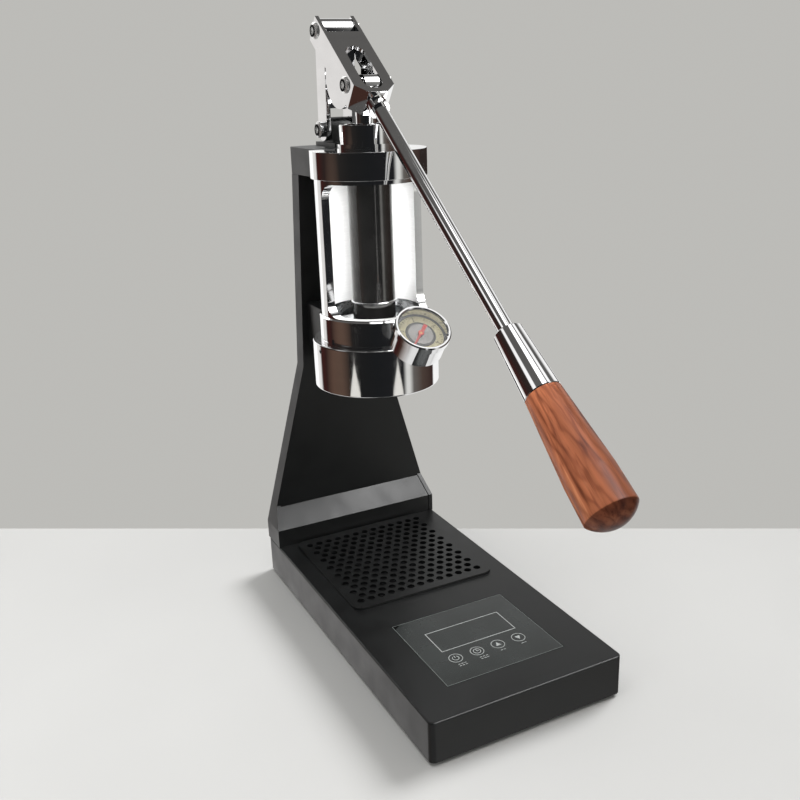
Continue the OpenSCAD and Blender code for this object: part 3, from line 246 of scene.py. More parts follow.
class Draft:
    """A node tree in the making"""

    def __init__(self, tree):
        self.tree = tree

    def add(self, kind, inputs=(), **settings):
        made = self.tree.nodes.new(kind)
        for key, value in settings.items():
            setattr(made, key, value)
        for key, value in inputs:
            made.inputs[key].default_value = value
        return made

    def join(self, output, target):
        self.tree.links.new(output, target)

    def math(self, operation, *values):
        made = self.add("ShaderNodeMath", operation=operation)
        for socket, value in zip(made.inputs, values):
            if isinstance(value, bpy.types.NodeSocket):
                self.join(value, socket)
            else:
                socket.default_value = value
        return made.outputs["Value"]

    def dot(self, vector, direction):
        """How far a vector points in a fixed direction"""
        made = self.add("ShaderNodeVectorMath", operation="DOT_PRODUCT")
        self.join(vector, made.inputs[0])
        made.inputs[1].default_value = direction
        return made.outputs["Value"]

    def blend(self, kind, factor, first, second):
        """Mixes two colours, each a socket or a plain tone"""
        made = self.add("ShaderNodeMix", data_type="RGBA", blend_type=kind)
        for socket, value in ((made.inputs[0], factor), (made.inputs[6], first), (made.inputs[7], second)):
            if isinstance(value, bpy.types.NodeSocket):
                self.join(value, socket)
            else:
                socket.default_value = value if isinstance(value, float) else (*value, 1.0)
        return made.outputs[2]

    def ramp(self, value, stops):
        made = self.add("ShaderNodeValToRGB")
        points = made.color_ramp.elements
        while len(points) < len(stops):
            points.new(0.5)
        for point, (at, tone) in zip(points, stops):
            point.position = at
            point.color = (*tone, 1.0)
        self.join(value, made.inputs["Fac"])
        return made.outputs["Color"]

    def spread(self, value, low, high, start=0.3, end=0.7):
        """Carries a value between start and end over to low and high"""
        made = self.add("ShaderNodeMapRange", [("From Min", start), ("From Max", end),
                                               ("To Min", low), ("To Max", high)])
        self.join(value, made.inputs["Value"])
        return made.outputs["Result"]


class Finish(Draft):
    """A material in the making: its nodes and its main shader"""

    def __init__(self, name, base, roughness, metallic=0.0):
        self.material = bpy.data.materials.new(name)
        self.material.use_nodes = True
        super().__init__(self.material.node_tree)
        self.shader = self.tree.nodes["Principled BSDF"]
        self.set("Base Color", (*base, 1.0))
        self.set("Roughness", roughness)
        self.set("Metallic", metallic)

    def set(self, socket, value):
        self.shader.inputs[socket].default_value = value

    def place(self, stretch=(1, 1, 1), turn=(0, 0, 0)):
        """Coordinates in the part's own metres, turned and stretched"""
        coords = self.add("ShaderNodeTexCoord")
        mapping = self.add("ShaderNodeMapping", [("Scale", stretch)])
        turned = self.add("ShaderNodeVectorRotate", [("Rotation", turn)], rotation_type="EULER_XYZ")
        self.join(coords.outputs["Object"], turned.inputs["Vector"])
        self.join(turned.outputs["Vector"], mapping.inputs["Vector"])
        return mapping.outputs["Vector"]

    def grain(self, scale, detail=2.0, stretch=(1, 1, 1), turn=(0, 0, 0), distortion=0.0):
        noise = self.add("ShaderNodeTexNoise", [("Scale", scale), ("Detail", detail),
                                                ("Distortion", distortion)])
        self.join(self.place(stretch, turn), noise.inputs["Vector"])
        return noise.outputs["Fac"]

    def tint(self, value, low, high):
        """Colour that drifts between two tones"""
        self.join(self.ramp(value, [(0.35, low), (0.65, high)]), self.shader.inputs["Base Color"])

    def gloss(self, value, low, high):
        """Roughness that drifts between two levels"""
        self.join(self.spread(value, low, high), self.shader.inputs["Roughness"])

    def relief(self, value, distance, strength):
        bump = self.add("ShaderNodeBump", [("Distance", distance), ("Strength", strength)])
        self.join(value, bump.inputs["Height"])
        self.join(bump.outputs["Normal"], self.shader.inputs["Normal"])


def shade(tone, factor):
    return tuple(min(1.0, part * factor) for part in tone)


def powder_coat(tones):
    made = Finish("powder_black", tones.powder, 0.42)
    mottle = made.grain(55.0, 3.0)
    made.tint(mottle, shade(tones.powder, 0.82), shade(tones.powder, 1.2))
    made.gloss(mottle, 0.36, 0.44)
    made.set("Specular IOR Level", 0.5)
    made.relief(made.grain(1500.0, 3.0), 0.00004, 0.55)


def polished_steel(tones):
    made = Finish("polished_steel", tones.chrome, 0.05, 1.0)
    smear = made.grain(38.0, 4.0, (1, 1, 2.5))
    made.tint(smear, shade(tones.chrome, 0.97), shade(tones.chrome, 1.03))
    made.gloss(smear, 0.035, 0.075)
    made.relief(made.grain(420.0), 0.00001, 0.10)


# Painted reflection: near-white colour on the polished inside of the cage tube, standing in for the bright
# surroundings it mirrors
def bright_lining(tones):
    made = Finish("bright_lining", tones.lining, 0.42, 0.25)
    brushed = made.grain(60.0, 3.0, (1, 1, 24))
    made.tint(brushed, shade(tones.lining, 0.968), shade(tones.lining, 1.032))
    made.gloss(brushed, 0.36, 0.48)
    made.relief(brushed, 0.00001, 0.05)


def machined_steel(tones):
    made = Finish("machined_steel", tones.steel, 0.28, 1.0)
    turned = made.grain(90.0, 3.0, (1, 1, 14))
    made.tint(turned, shade(tones.steel, 0.86), shade(tones.steel, 1.1))
    made.gloss(turned, 0.22, 0.36)
    made.relief(turned, 0.00003, 0.25)


def figured_wood(tones, lever_angle):
    """Turned hardwood: streaks along the handle, slanting growth layers, fine pores and a dark end"""
    made = Finish("figured_wood", tones.wood_mid, 0.36)
    along = (-lever_angle, 0, 0)
    warp = made.grain(38.0, 3.0, (1, 0.35, 1), along)
    streak = made.grain(120.0, 4.0, (1, 0.11, 1), along, 0.8)
    patch = made.grain(30.0, 2.0, (1, 0.3, 1), along)
    speck = made.grain(620.0, 2.0, (1, 0.06, 1), along)
    bands = made.ramp(streak, [(0.30, shade(tones.wood_dark, 1.5)), (0.44, shade(tones.wood_mid, 0.82)),
                               (0.54, tones.wood_mid), (0.70, tones.wood_light)])
    cloud = made.ramp(patch, [(0.32, (0.70, 0.64, 0.60)), (0.68, (1.12, 1.10, 1.05))])
    pores = made.ramp(speck, [(0.34, (0.50, 0.42, 0.38)), (0.46, WHITE)])

    place = made.place(turn=along)
    layer_way, layer_warp, layer_rate = (0.75, 0.16, 0.65), 0.030, 1150.0
    layer = made.math("MULTIPLY_ADD", warp, layer_warp, made.dot(place, layer_way))
    wave = made.math("SINE", made.math("MULTIPLY", layer, layer_rate))
    figure = made.ramp(made.spread(wave, 0.0, 1.0, -1.0, 1.0),
                       [(0.0, (0.62, 0.54, 0.50)), (0.30, (0.92, 0.90, 0.88)), (1.0, (1.08, 1.08, 1.06))])
    # Darker towards the handle's end and lighter towards the ferrule
    length_tone_front, length_tone_back = -0.029, 0.053
    length_tone = made.spread(made.dot(place, (0.0, 1.0, 0.0)), 0.80, 1.22, length_tone_front, length_tone_back)

    outward = (0.0, -math.cos(lever_angle), -math.sin(lever_angle))
    facing = made.dot(made.add("ShaderNodeTexCoord").outputs["Normal"], outward)
    end_from, end_full = 0.28, 0.62
    end = made.ramp(facing, [(end_from, WHITE), (end_full, (0.40, 0.36, 0.36))])
    shine = made.spread(facing, 0.35, 0.16, end_from, end_full)

    toned = bands
    for weight, layer_tone in ((0.8, figure), (1.0, cloud), (0.6, pores), (1.0, length_tone), (1.0, end)):
        toned = made.blend("MULTIPLY", weight, toned, layer_tone)
    made.join(toned, made.shader.inputs["Base Color"])
    made.join(shine, made.shader.inputs["Specular IOR Level"])
    made.gloss(warp, 0.42, 0.32)
    made.relief(pores, 0.00004, 0.3)


def panel_film(tones):
    made = Finish("panel_film", tones.panel, 0.26)
    haze = made.grain(42.0, 3.0)
    made.tint(haze, shade(tones.panel, 0.85), shade(tones.panel, 1.22))
    made.gloss(haze, 0.20, 0.30)
    made.set("Coat Weight", 0.3)
    made.set("Coat Roughness", 0.12)
    made.relief(made.grain(900.0), 0.00001, 0.15)


def panel_ink(tones):
    made = Finish("panel_ink", tones.print_ink, 0.55)
    made.tint(made.grain(700.0), shade(tones.print_ink, 0.8), shade(tones.print_ink, 1.08))


def clear_glass(tones):
    made = Finish("clear_glass", tones.glass, 0.03)
    made.gloss(made.grain(150.0), 0.02, 0.06)
    made.set("Alpha", 0.10)
    made.set("IOR", 1.5)


def plain(name, base, roughness, metallic=0.0, scale=300.0, depth=0.00004, shine=0.5):
    """A simple finish with a fine texture"""
    made = Finish(name, base, roughness, metallic)
    fine = made.grain(scale, 3.0)
    made.tint(fine, shade(base, 0.84), shade(base, 1.14))
    made.gloss(fine, roughness * 0.88, min(1.0, roughness * 1.12))
    made.relief(fine, depth, 0.3)
    made.set("Specular IOR Level", shine)


def finishes():
    """Each finish by name, made once"""
    scene = bpy.context.scene
    tones = scene.maker_colours
    if "powder_black" not in bpy.data.materials:
        powder_coat(tones)
        polished_steel(tones)
        bright_lining(tones)
        machined_steel(tones)
        figured_wood(tones, scene.maker_sizes.lever_angle)
        panel_film(tones)
        panel_ink(tones)
        clear_glass(tones)
        plain("feet_rubber", tones.rubber, 0.75, scale=900.0)
        plain("seal_rubber", tones.gasket, 0.6, scale=900.0)
        plain("plain_brass", tones.brass, 0.3, metallic=1.0)
        plain("green_board", tones.board, 0.4)
        plain("black_plastic", tones.plastic, 0.5, scale=1200.0)
        # Painted highlight for the panel's edges
        plain("edge_highlight_ink", tones.border, 0.5, scale=700.0)
        # Painted socket shade for the pins, and the real black of the film's clipped corner
        plain("dark_gap_and_socket_shade", tones.gap, 0.8, scale=700.0, shine=0.08)
        # Painted shade: tray darkened so the grid's holes look shaded
        plain("tray_painted_dark", tones.tray, 0.45, metallic=0.6)
        # Painted shade: chrome darkened so the plunger rod mirrors as if its surroundings were dark
        plain("chrome_painted_dark", tones.rod, 0.10, metallic=0.85, scale=60.0, depth=0.000002)
        plain("satin_steel", tones.pins, 0.24, metallic=0.75, scale=400.0, depth=0.00001)
        plain("dark_display", tones.display, 0.18, depth=0.00001)
        plain("dial_cream", tones.dial, 0.5, scale=800.0, depth=0.00001)
        plain("dial_black", tones.dial_print, 0.35, scale=800.0, depth=0.00001)
        plain("dial_metal", tones.dial_plate, 0.2, metallic=0.9, scale=120.0, depth=0.00001)
        plain("needle_red", tones.needle, 0.4, scale=800.0, depth=0.00001)
    return bpy.data.materials


# Shapes

def dress(node_names, finish_name):
    """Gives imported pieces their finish"""
    finish = finishes()[finish_name]
    for name in node_names:
        piece = frame["nodes"][name]
        if not piece.material_slots:
            piece.data.materials.append(finish)
        for slot in piece.material_slots:
            slot.material = finish


def show(mesh, name, finish_names, body, replaced=()):
    """Puts a mesh into the scene as a piece that rides on a body"""
    piece = bpy.data.objects.new(name, mesh)
    bpy.context.scene.collection.objects.link(piece)
    mesh.materials.clear()
    for finish_name in finish_names:
        mesh.materials.append(finishes()[finish_name])
    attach(piece, body)
    if replaced:
        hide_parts(*replaced)
    return piece


def finished_mesh(work, name):
    """The mesh of a finished shape, with its faces turned outward"""
    bmesh.ops.recalc_face_normals(work, faces=work.faces[:])
    mesh = bpy.data.meshes.new(name)
    work.to_mesh(mesh)
    work.free()
    return mesh


def smooth(mesh):
    for face in mesh.polygons:
        face.use_smooth = True
    mesh.set_sharp_from_angle(angle=math.radians(SMOOTH_DEGREES))


def even_shading(piece):
    modifier = piece.modifiers.new("even_shading", "WEIGHTED_NORMAL")
    modifier.keep_sharp = True
    modifier.weight = 80


def edged(node_name, finish_names, edge, segments=2, keep=None, mark=None, level=None):
    """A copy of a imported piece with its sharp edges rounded, which stands for that piece

    keep tests which edges are rounded, mark gives a face the number of its finish, and level is a
    height at which the faces are cut first.
    """
    work = bmesh.new()
    work.from_mesh(frame["nodes"][node_name].data)
    bmesh.ops.remove_doubles(work, verts=work.verts[:], dist=WELD)
    bmesh.ops.dissolve_limit(work, angle_limit=math.radians(FLAT_DEGREES), verts=work.verts[:],
                             edges=work.edges[:])
    if level is not None:
        bmesh.ops.bisect_plane(work, geom=work.verts[:] + work.edges[:] + work.faces[:], dist=WELD,
                               plane_co=(0, 0, level), plane_no=(0, 0, 1))
    limit = math.radians(SHARP_DEGREES)
    sharp = [e for e in work.edges
             if len(e.link_faces) == 2 and e.calc_face_angle(0.0) > limit and (keep is None or keep(e))]
    bmesh.ops.bevel(work, geom=sharp, offset=edge, offset_type="OFFSET", segments=segments, profile=0.5,
                    affect="EDGES", clamp_overlap=True)
    name = node_name + "_edged"
    mesh = finished_mesh(work, name)
    smooth(mesh)
    piece = show(mesh, name, finish_names, BODY_OF[node_name], [node_name])
    if mark:
        for face in mesh.polygons:
            face.material_index = mark(face)
    even_shading(piece)
    return piece


def longer_than(limit):
    """A test for edges longer than a limit"""
    return lambda edge: edge.calc_length() > limit


def above(height):
    """A test for edges that lie above a height"""
    return lambda edge: min(v.co.z for v in edge.verts) > height


def middle(node_name):
    low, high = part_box(node_name)
    return (Vector(low) + Vector(high)) / 2


def arc(centre, radius, steps, start=0.0, turn=math.tau):
    """Points round a centre; a full turn doesn't repeat its first point"""
    count = steps if turn >= math.tau else steps + 1
    ways = [start + turn * i / steps for i in range(count)]
    return [(centre[0] + radius * math.cos(a), centre[1] + radius * math.sin(a)) for a in ways]


def skin(work, loops, steps):
    """Faces between each loop of points and the next"""
    for a, b in zip(loops, loops[1:]):
        for i in range(steps):
            j = (i + 1) % len(a)
            work.faces.new((a[i], a[j], b[j], b[i]))


class Print:
    """Thin raised strokes drawn on a plane of the part"""

    def __init__(self, plane, height):
        self.plane = plane
        self.height = height
        self.work = bmesh.new()

    def fill(self, points):
        """One closed flat shape, given counter-clockwise"""
        under = [self.work.verts.new((x, y, 0.0)) for x, y in points]
        over = [self.work.verts.new((x, y, self.height)) for x, y in points]
        self.work.faces.new(over)
        self.work.faces.new(under[::-1])
        skin(self.work, [under, over], len(points))

    def disc(self, radius, steps=64):
        self.fill(arc((0.0, 0.0), radius, steps))

    def ring(self, centre, radius, width, start=0.0, turn=math.tau, steps=40):
        """A ring, or an arc of one"""
        inner, outer = radius - width / 2, radius + width / 2
        loops = []
        for reach, height in ((inner, 0.0), (outer, 0.0), (outer, self.height), (inner, self.height)):
            points = arc(centre, reach, steps, start, turn)
            loops.append([self.work.verts.new((x, y, height)) for x, y in points])
        skin(self.work, loops + loops[:1], steps)
        if turn < math.tau:
            for end in (0, -1):
                self.work.faces.new([loop[end] for loop in loops])

    def stroke(self, start, end, width):
        a, b = Vector(start), Vector(end)
        side = (b - a).normalized()
        side = Vector((-side.y, side.x)) * width / 2
        self.fill([(a - side)[:], (b - side)[:], (b + side)[:], (a + side)[:]])

    def oblong(self, half_w, half_l, width, shift=0.0):
        """The four lines of a rectangle, whose middle lies behind the plane's by the shift"""
        reach_w, reach_l = half_w + width / 2, half_l - width / 2
        for side in (-1, 1):
            self.stroke((-reach_w, shift + side * half_l), (reach_w, shift + side * half_l), width)
            self.stroke((side * half_w, shift - reach_l), (side * half_w, shift + reach_l), width)

    def digits(self, text, centre, size):
        """Plain numerals from the built-in letter shapes"""
        letters = bpy.data.curves.new("digits", "FONT")
        letters.body = text
        letters.size = size
        letters.align_x = "CENTER"
        letters.align_y = "CENTER"
        letters.extrude = self.height / 2
        letters.resolution_u = 3
        holder = bpy.data.objects.new("digits", letters)
        mesh = bpy.data.meshes.new_from_object(holder)
        mesh.transform(Matrix.Translation((centre[0], centre[1], self.height / 2)))
        self.work.from_mesh(mesh)
        bpy.data.objects.remove(holder)
        bpy.data.curves.remove(letters)
        bpy.data.meshes.remove(mesh)

    def show(self, name, finish_name, body, slot):
        mesh = finished_mesh(self.work, name)
        mesh.transform(self.plane)
        show(mesh, name, [finish_name], body)


def lathe(profile, seat, name, steps=96):
    """A turned mesh from (radius, height) points, stood on its seat"""
    work = bmesh.new()
    loops = []
    for radius, height in profile:
        loops.append([work.verts.new((x, y, height)) for x, y in arc((0.0, 0.0), radius, steps)])
    skin(work, loops, steps)
    mesh = finished_mesh(work, name)
    mesh.transform(seat)
    smooth(mesh)
    return mesh


# Pieces

class MAKER_OT_black_metalwork(Operator):
    """Coats the black metalwork and rounds the base, the column, the arm and the group's bracket"""
    bl_idname = "maker.black_metalwork"
    bl_label = "Black metalwork"

    def execute(self, context):
        sizes = context.scene.maker_sizes
        low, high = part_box("base_housing")
        inset = sizes.rim_inset

        def at_rim(edge):
            """Whether an edge lies on the top face, in the strip round it"""
            return all(v.co.z > high[2] - LEVEL_SLACK and not (
                low[0] + inset < v.co.x < high[0] - inset and low[1] + inset < v.co.y < high[1] - inset)
                for v in edge.verts)

        base = edged("base_housing", ["powder_black"], sizes.sheet_edge, segments=3, keep=at_rim)
        shading = bpy.data.collections.new("shading_base")
        shading.objects.link(base)
        shading.objects.link(frame["nodes"]["base_bottom_plate"])
        edged("column_shell", ["powder_black"], sizes.shell_edge, keep=longer_than(LONG_EDGE))
        edged("top_arm", ["powder_black"], sizes.block_edge, keep=longer_than(LONG_EDGE))
        edged("group_bracket", ["powder_black"], sizes.block_edge, keep=longer_than(SHORT_EDGE))
        dress(["column_rear_cover", "pivot_bracket"], "powder_black")
        return {"FINISHED"}


class MAKER_OT_chrome_group(Operator):
    """Finishes the brew group: block, tube, collar, ring, bush and plunger"""
    bl_idname = "maker.chrome_group"
    bl_label = "Chrome group"

    def execute(self, context):
        sizes = context.scene.maker_sizes
        axis = middle("cage_tube")
        # Lower edge of the near-white painted reflection inside the cage tube
        lining_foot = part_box("group_collar")[1][2] + sizes.lining_rise
        edged("upper_block", ["polished_steel"], sizes.block_round, segments=3)
        self.cage(sizes, axis, lining_foot)
        self.turned_pieces(sizes, axis)
        self.rod_bead(sizes, lining_foot)
        # The plunger rod gets chrome darkened as painted shade
        dress(["plunger_rod"], "chrome_painted_dark")
        dress(["chamber_sleeve", "shower_screen", "piston", "piston_bolt", "ring_set_screws"],
              "machined_steel")
        dress(["piston_seals"], "feet_rubber")
        dress(["group_gasket"], "seal_rubber")
        return {"FINISHED"}

    def cage(self, sizes, axis, lining_foot):
        """Rounds the cage tube's window, and paints its inside near-white as a painted reflection and the
        cup's rim as a painted highlight
        """
        low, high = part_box("cage_tube")
        lining_reach = (high[0] - low[0]) / 2 - LINING_INSET
        cup_rim = lining_foot - sizes.rim_drop

        def lined(face):
            """The number of a face's finish: 1 for the painted reflection inside and the painted highlight
            on the rim, 0 for the rest
            """
            away = Vector((face.center.x - axis.x, face.center.y - axis.y, 0.0))
            inward = away.normalized().dot(face.normal) < FACING_IN
            inside = inward and away.length < lining_reach and face.center.z > lining_foot
            on_rim = face.normal.z > FACING_UP and abs(face.center.z - cup_rim) < RIM_SLACK
            return 1 if inside or on_rim else 0

        cage = edged("cage_tube", ["polished_steel", "bright_lining"], sizes.tube_edge,
                     keep=above(low[2] + WINDOW_RISE), mark=lined, level=lining_foot)
        bpy.data.collections.new("lit_cage").objects.link(cage)

    def turned_pieces(self, sizes, axis):
        """Rounds the outer edges of the ring and the bush, and polishes the collar"""
        ring_low, ring_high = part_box("lock_ring")
        ring_r = (ring_high[0] - ring_low[0]) / 2

        def ring_edge(edge):
            """Whether an edge lies at an end of the ring, near its outer face"""
            heights = [v.co.z for v in edge.verts]
            reaches = [math.hypot(v.co.x - axis.x, v.co.y - axis.y) for v in edge.verts]
            end = min(heights) > ring_high[2] - RING_END or max(heights) < ring_low[2] + RING_END
            return end and min(reaches) > ring_r - RING_WALL

        edged("lock_ring", ["polished_steel"], sizes.turned_edge, keep=ring_edge)
        dress(["group_collar"], "polished_steel")
        bush_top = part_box("guide_bush")[1][2]
        edged("guide_bush", ["polished_steel"], sizes.turned_edge, keep=above(bush_top - BUSH_END))

    def rod_bead(self, sizes, lining_foot):
        """A thin bead round the plunger rod, just above the cup"""
        low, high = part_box("plunger_rod")
        axis = middle("plunger_rod")
        radius = (high[0] - low[0]) / 2
        profile = arc((radius, 0.0), sizes.bead_radius, steps=12, start=-math.pi / 2, turn=math.pi)
        seat = Matrix.Translation((axis.x, axis.y, lining_foot + sizes.bead_rise))
        mesh = lathe(profile, seat, "rod_bead")
        show(mesh, "rod_bead", ["polished_steel"], BODY_OF["plunger_rod"])


class MAKER_OT_linkage(Operator):
    """Polishes the link, the lever's head and the yoke, and finishes the pins with dark rings of painted
    socket shade
    """
    bl_idname = "maker.linkage"
    bl_label = "Linkage"

    def execute(self, context):
        sizes = context.scene.maker_sizes
        pins = ["pivot_pin", "link_pin", "yoke_pin"]
        edged("lever_head", ["polished_steel"], sizes.lever_edge, keep=longer_than(SHORT_EDGE))
        edged("rear_link", ["polished_steel"], sizes.lever_edge)
        dress(["plunger_yoke"], "polished_steel")
        dress(pins + ["pin_nuts"], "satin_steel")
        dress(["pivot_washers", "bracket_screws"], "machined_steel")
        for name in pins:
            self.groove(sizes, name)
        return {"FINISHED"}

    def groove(self, sizes, name):
        """A dark ring on the end of a pin's head, painted shade of a socket"""
        low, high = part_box(name)
        centre = middle(name)
        radius = (high[1] - low[1]) / 2
        seat = Matrix.Translation((low[0], centre.y, centre.z))
        art = Print(seat @ Matrix.Rotation(math.radians(-90), 4, "Y"), sizes.print_height)
        art.ring((0.0, 0.0), radius * sizes.groove_reach, radius * sizes.groove_width)
        art.show(name + "_groove", "dark_gap_and_socket_shade", BODY_OF[name], SLOT_OF[name])


class MAKER_OT_lever_handle(Operator):
    """Gives the handle its wood and polishes the rod and the ferrule"""
    bl_idname = "maker.lever_handle"
    bl_label = "Lever and handle"

    def execute(self, context):
        dress(["lever_rod", "lever_ferrule"], "polished_steel")
        dress(["lever_handle"], "figured_wood")
        return {"FINISHED"}


class MAKER_OT_control_panel(Operator):
    """Coats the touch panel, prints its window, keys and marks, and paints a highlight line round its edges
    """
    bl_idname = "maker.control_panel"
    bl_label = "Control panel"

    def execute(self, context):
        sizes = context.scene.maker_sizes
        edged("control_panel", ["panel_film"], sizes.fine_edge)
        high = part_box("control_panel")[1]
        centre = middle("control_panel")
        plane = Matrix.Translation((centre.x, centre.y, high[2]))
        art = Print(plane, sizes.print_height)
        art.oblong(sizes.window_width / 2, sizes.window_length / 2, sizes.print_line, sizes.window_shift)
        self.key_row(sizes, art)
        art.show("panel_print", "panel_ink", "frame", "panel")
        self.border(sizes, plane, high[0] - centre.x, high[1] - centre.y)
        return {"FINISHED"}

    def key_row(self, sizes, art):
        """Four round keys in a row with their signs; a sign's sizes are shares of the key's radius"""
        radius = sizes.key_radius
        steps_from_middle = (-1.5, -0.5, 0.5, 1.5)
        power, clock, more, less = [(sizes.key_pitch * step, -sizes.key_shift) for step in steps_from_middle]
        for key, rows, bars in ((power, 2, 3), (clock, 2, 3), (more, 1, 2), (less, 1, 2)):
            art.ring(key, radius, sizes.key_line)
            self.small_marks(art, key, radius, sizes.mark_line, rows, bars)
        self.power_sign(art, power, radius, sizes.sign_line)
        self.clock_sign(art, clock, radius, sizes.sign_line)
        self.arrow(art, more, radius, 1)
        self.arrow(art, less, radius, -1)

    def power_sign(self, art, key, radius, line):
        x, y = key
        gap_side, sweep = math.radians(125), math.radians(290)
        art.ring(key, radius * 0.48, line, gap_side, sweep, steps=24)
        art.stroke((x, y + radius * 0.1), (x, y + radius * 0.62), line)

    def clock_sign(self, art, key, radius, line):
        x, y = key
        art.ring(key, radius * 0.55, line)
        art.stroke(key, (x, y + radius * 0.42), line)
        art.stroke((x - line / 2, y), (x + radius * 0.34, y), line)

    def arrow(self, art, key, radius, way):
        """A filled arrowhead that points up or down"""
        x, y = key
        half, foot, tip = radius * 0.432, radius * 0.36, radius * 0.504
        points = [(x - half, y - way * foot), (x + half, y - way * foot), (x, y + way * tip)]
        art.fill(points if way > 0 else points[::-1])

    def small_marks(self, art, key, radius, line, rows, bars):
        """Short bars under a key, where a label would stand"""
        drop, row_pitch = radius * 1.55, radius * 0.42
        left, bar_pitch, bar = radius * 0.45, radius * 0.48, radius * 0.34
        for row in range(rows):
            y = key[1] - drop - row * row_pitch
            for step in range(bars):
                x = key[0] - left + step * bar_pitch
                art.stroke((x, y), (x + bar, y), line)

    def border(self, sizes, plane, half_w, half_l):
        """A dim line round the film that is a painted highlight of its edges, and its clipped corner"""
        line = sizes.border_line
        rim = Print(plane, sizes.print_height)
        # Painted highlight round the film's edges
        rim.oblong(half_w - line, half_l - line, line)
        rim.show("panel_edge_highlight", "edge_highlight_ink", "frame", "panel")
        inset = 1.5 * line
        left, back = inset - half_w, half_l - inset
        corner = Print(plane, sizes.print_height)
        corner.fill([(left, back), (left, back - sizes.corner_drop), (left + sizes.corner_clip, back)])
        corner.show("panel_corner", "dark_gap_and_socket_shade", "frame", "panel")


class MAKER_OT_drip_set(Operator):
    """Rounds the drip grid and darkens the tray under it, so that the grid's holes show painted shade"""
    bl_idname = "maker.drip_set"
    bl_label = "Drip grid and tray"

    def execute(self, context):
        sizes = context.scene.maker_sizes
        edged("drip_grid", ["powder_black"], sizes.fine_edge)
        dress(["drip_tray"], "tray_painted_dark")
        return {"FINISHED"}


class MAKER_OT_gauge(Operator):
    """Finishes the gauge and draws its dial"""
    bl_idname = "maker.gauge"
    bl_label = "Gauge"

    def execute(self, context):
        sizes = context.scene.maker_sizes
        dress(["gauge_case", "gauge_bezel", "gauge_adapter"], "polished_steel")
        dress(["gauge_lens"], "clear_glass")
        dress(["gauge_dial"], "dial_cream")
        dress(["gauge_needle"], "needle_red")
        dress(["gauge_movement"], "plain_brass")
        joint = JOINTS["needle_turn"]
        normal = Vector(joint["axis"]).normalized()
        right = Vector((1.0, 0.0, 0.0))
        plane = Matrix((right, normal.cross(right), normal)).transposed().to_4x4()
        plane.translation = Vector(joint["pos_m"]) - normal * sizes.dial_depth
        black = Print(plane, sizes.dial_height)
        black.disc(sizes.dial_middle)
        black.show("dial_middle", "dial_black", "frame", "dial")
        plate = Print(plane @ Matrix.Translation((0, 0, sizes.plate_rise)), sizes.plate_height)
        plate.disc(sizes.dial_middle * sizes.plate_reach)
        plate.show("dial_plate", "dial_metal", "frame", "dial")
        self.dial_scale(sizes, plane)
        return {"FINISHED"}

    def dial_scale(self, sizes, plane):
        """Ticks from zero to sixteen, numerals, and a black ring round them that is painted shadow of the
        bezel and lens
        """
        last, number_step, ticks, bold_step = 16, 4, 32, 4
        scale = Print(plane, sizes.scale_height)
        rim = sizes.dial_middle * sizes.scale_reach
        for tick in range(ticks + 1):
            spoke = self.spoke(sizes, tick / ticks)
            if tick % bold_step == 0:
                scale.stroke((spoke * (rim - sizes.tick_long))[:], (spoke * rim)[:], sizes.tick_bold)
            else:
                scale.stroke((spoke * (rim - sizes.tick_short))[:], (spoke * rim)[:], sizes.tick_fine)
        for number in range(0, last + 1, number_step):
            centre = self.spoke(sizes, number / last) * rim * sizes.digit_reach
            scale.digits(str(number), centre, sizes.digit_size)
        # Painted shadow: a black ring where the bezel and lens shade the dial's rim
        scale.ring((0, 0), sizes.dial_middle * sizes.scale_rim, sizes.scale_line, steps=64)
        scale.show("dial_scale", "dial_black", "frame", "dial")

    def spoke(self, sizes, part):
        """The direction of a part of the scale's sweep"""
        a = sizes.scale_start - sizes.scale_sweep * part
        return Vector((math.cos(a), math.sin(a)))


class MAKER_OT_fittings(Operator):
    """Finishes the bottom plate, the screws, the feet, the inlet and the inner pieces"""
    bl_idname = "maker.fittings"
    bl_label = "Fittings"

    def execute(self, context):
        dress(["base_bottom_plate"], "powder_black")
        dress(["bottom_screws", "board_screws", "rear_cover_screws", "column_screws", "arm_bolts",
               "arm_screws", "group_bolts", "temperature_probe"], "machined_steel")
        dress(["rubber_feet", "heater_lead"], "feet_rubber")
        dress(["power_module", "power_inlet"], "black_plastic")
        dress(["display_module"], "dark_display")
        dress(["control_board"], "green_board")
        dress(["heater_band", "board_standoffs"], "plain_brass")
        return {"FINISHED"}


# Stage

class Patch(NamedTuple):
    """A round patch of the mirrored studio: its place and its outer and inner half-widths in degrees"""
    turn: float
    rise: float
    outer: float
    inner: float


# The mirrored studio's tone at each share of a turn: dark in front, bright behind, with strips between
STUDIO_RING = (
    (0.0, (0.012, 0.013, 0.014)), (0.10, (0.014, 0.014, 0.014)), (0.20, (0.026, 0.022, 0.020)),
    (0.27, (0.030, 0.018, 0.016)), (0.315, (0.048, 0.014, 0.012)), (0.328, (0.040, 0.009, 0.008)),
    (0.340, (0.74, 0.72, 0.70)), (0.370, (0.86, 0.84, 0.82)), (0.385, (1.3, 1.29, 1.28)),
    (0.50, (0.90, 0.90, 0.89)), (0.638, (1.1, 1.1, 1.09)), (0.650, (0.040, 0.022, 0.020)),
    (0.74, (0.080, 0.056, 0.046)), (0.80, (0.14, 0.13, 0.12)), (0.825, (0.75, 0.75, 0.72)),
    (0.84, (0.75, 0.75, 0.72)), (0.86, (0.016, 0.016, 0.018)), (1.0, (0.012, 0.013, 0.014)),
)

# Its ceiling and floor: the rises, in degrees, between which each takes over, and their tones
CEILING_FROM, CEILING_FULL, CEILING_TONE = 24, 42, (0.115, 0.112, 0.108)
FLOOR_FULL, FLOOR_FROM, FLOOR_TONE = -60, -32, (0.85, 0.85, 0.84)

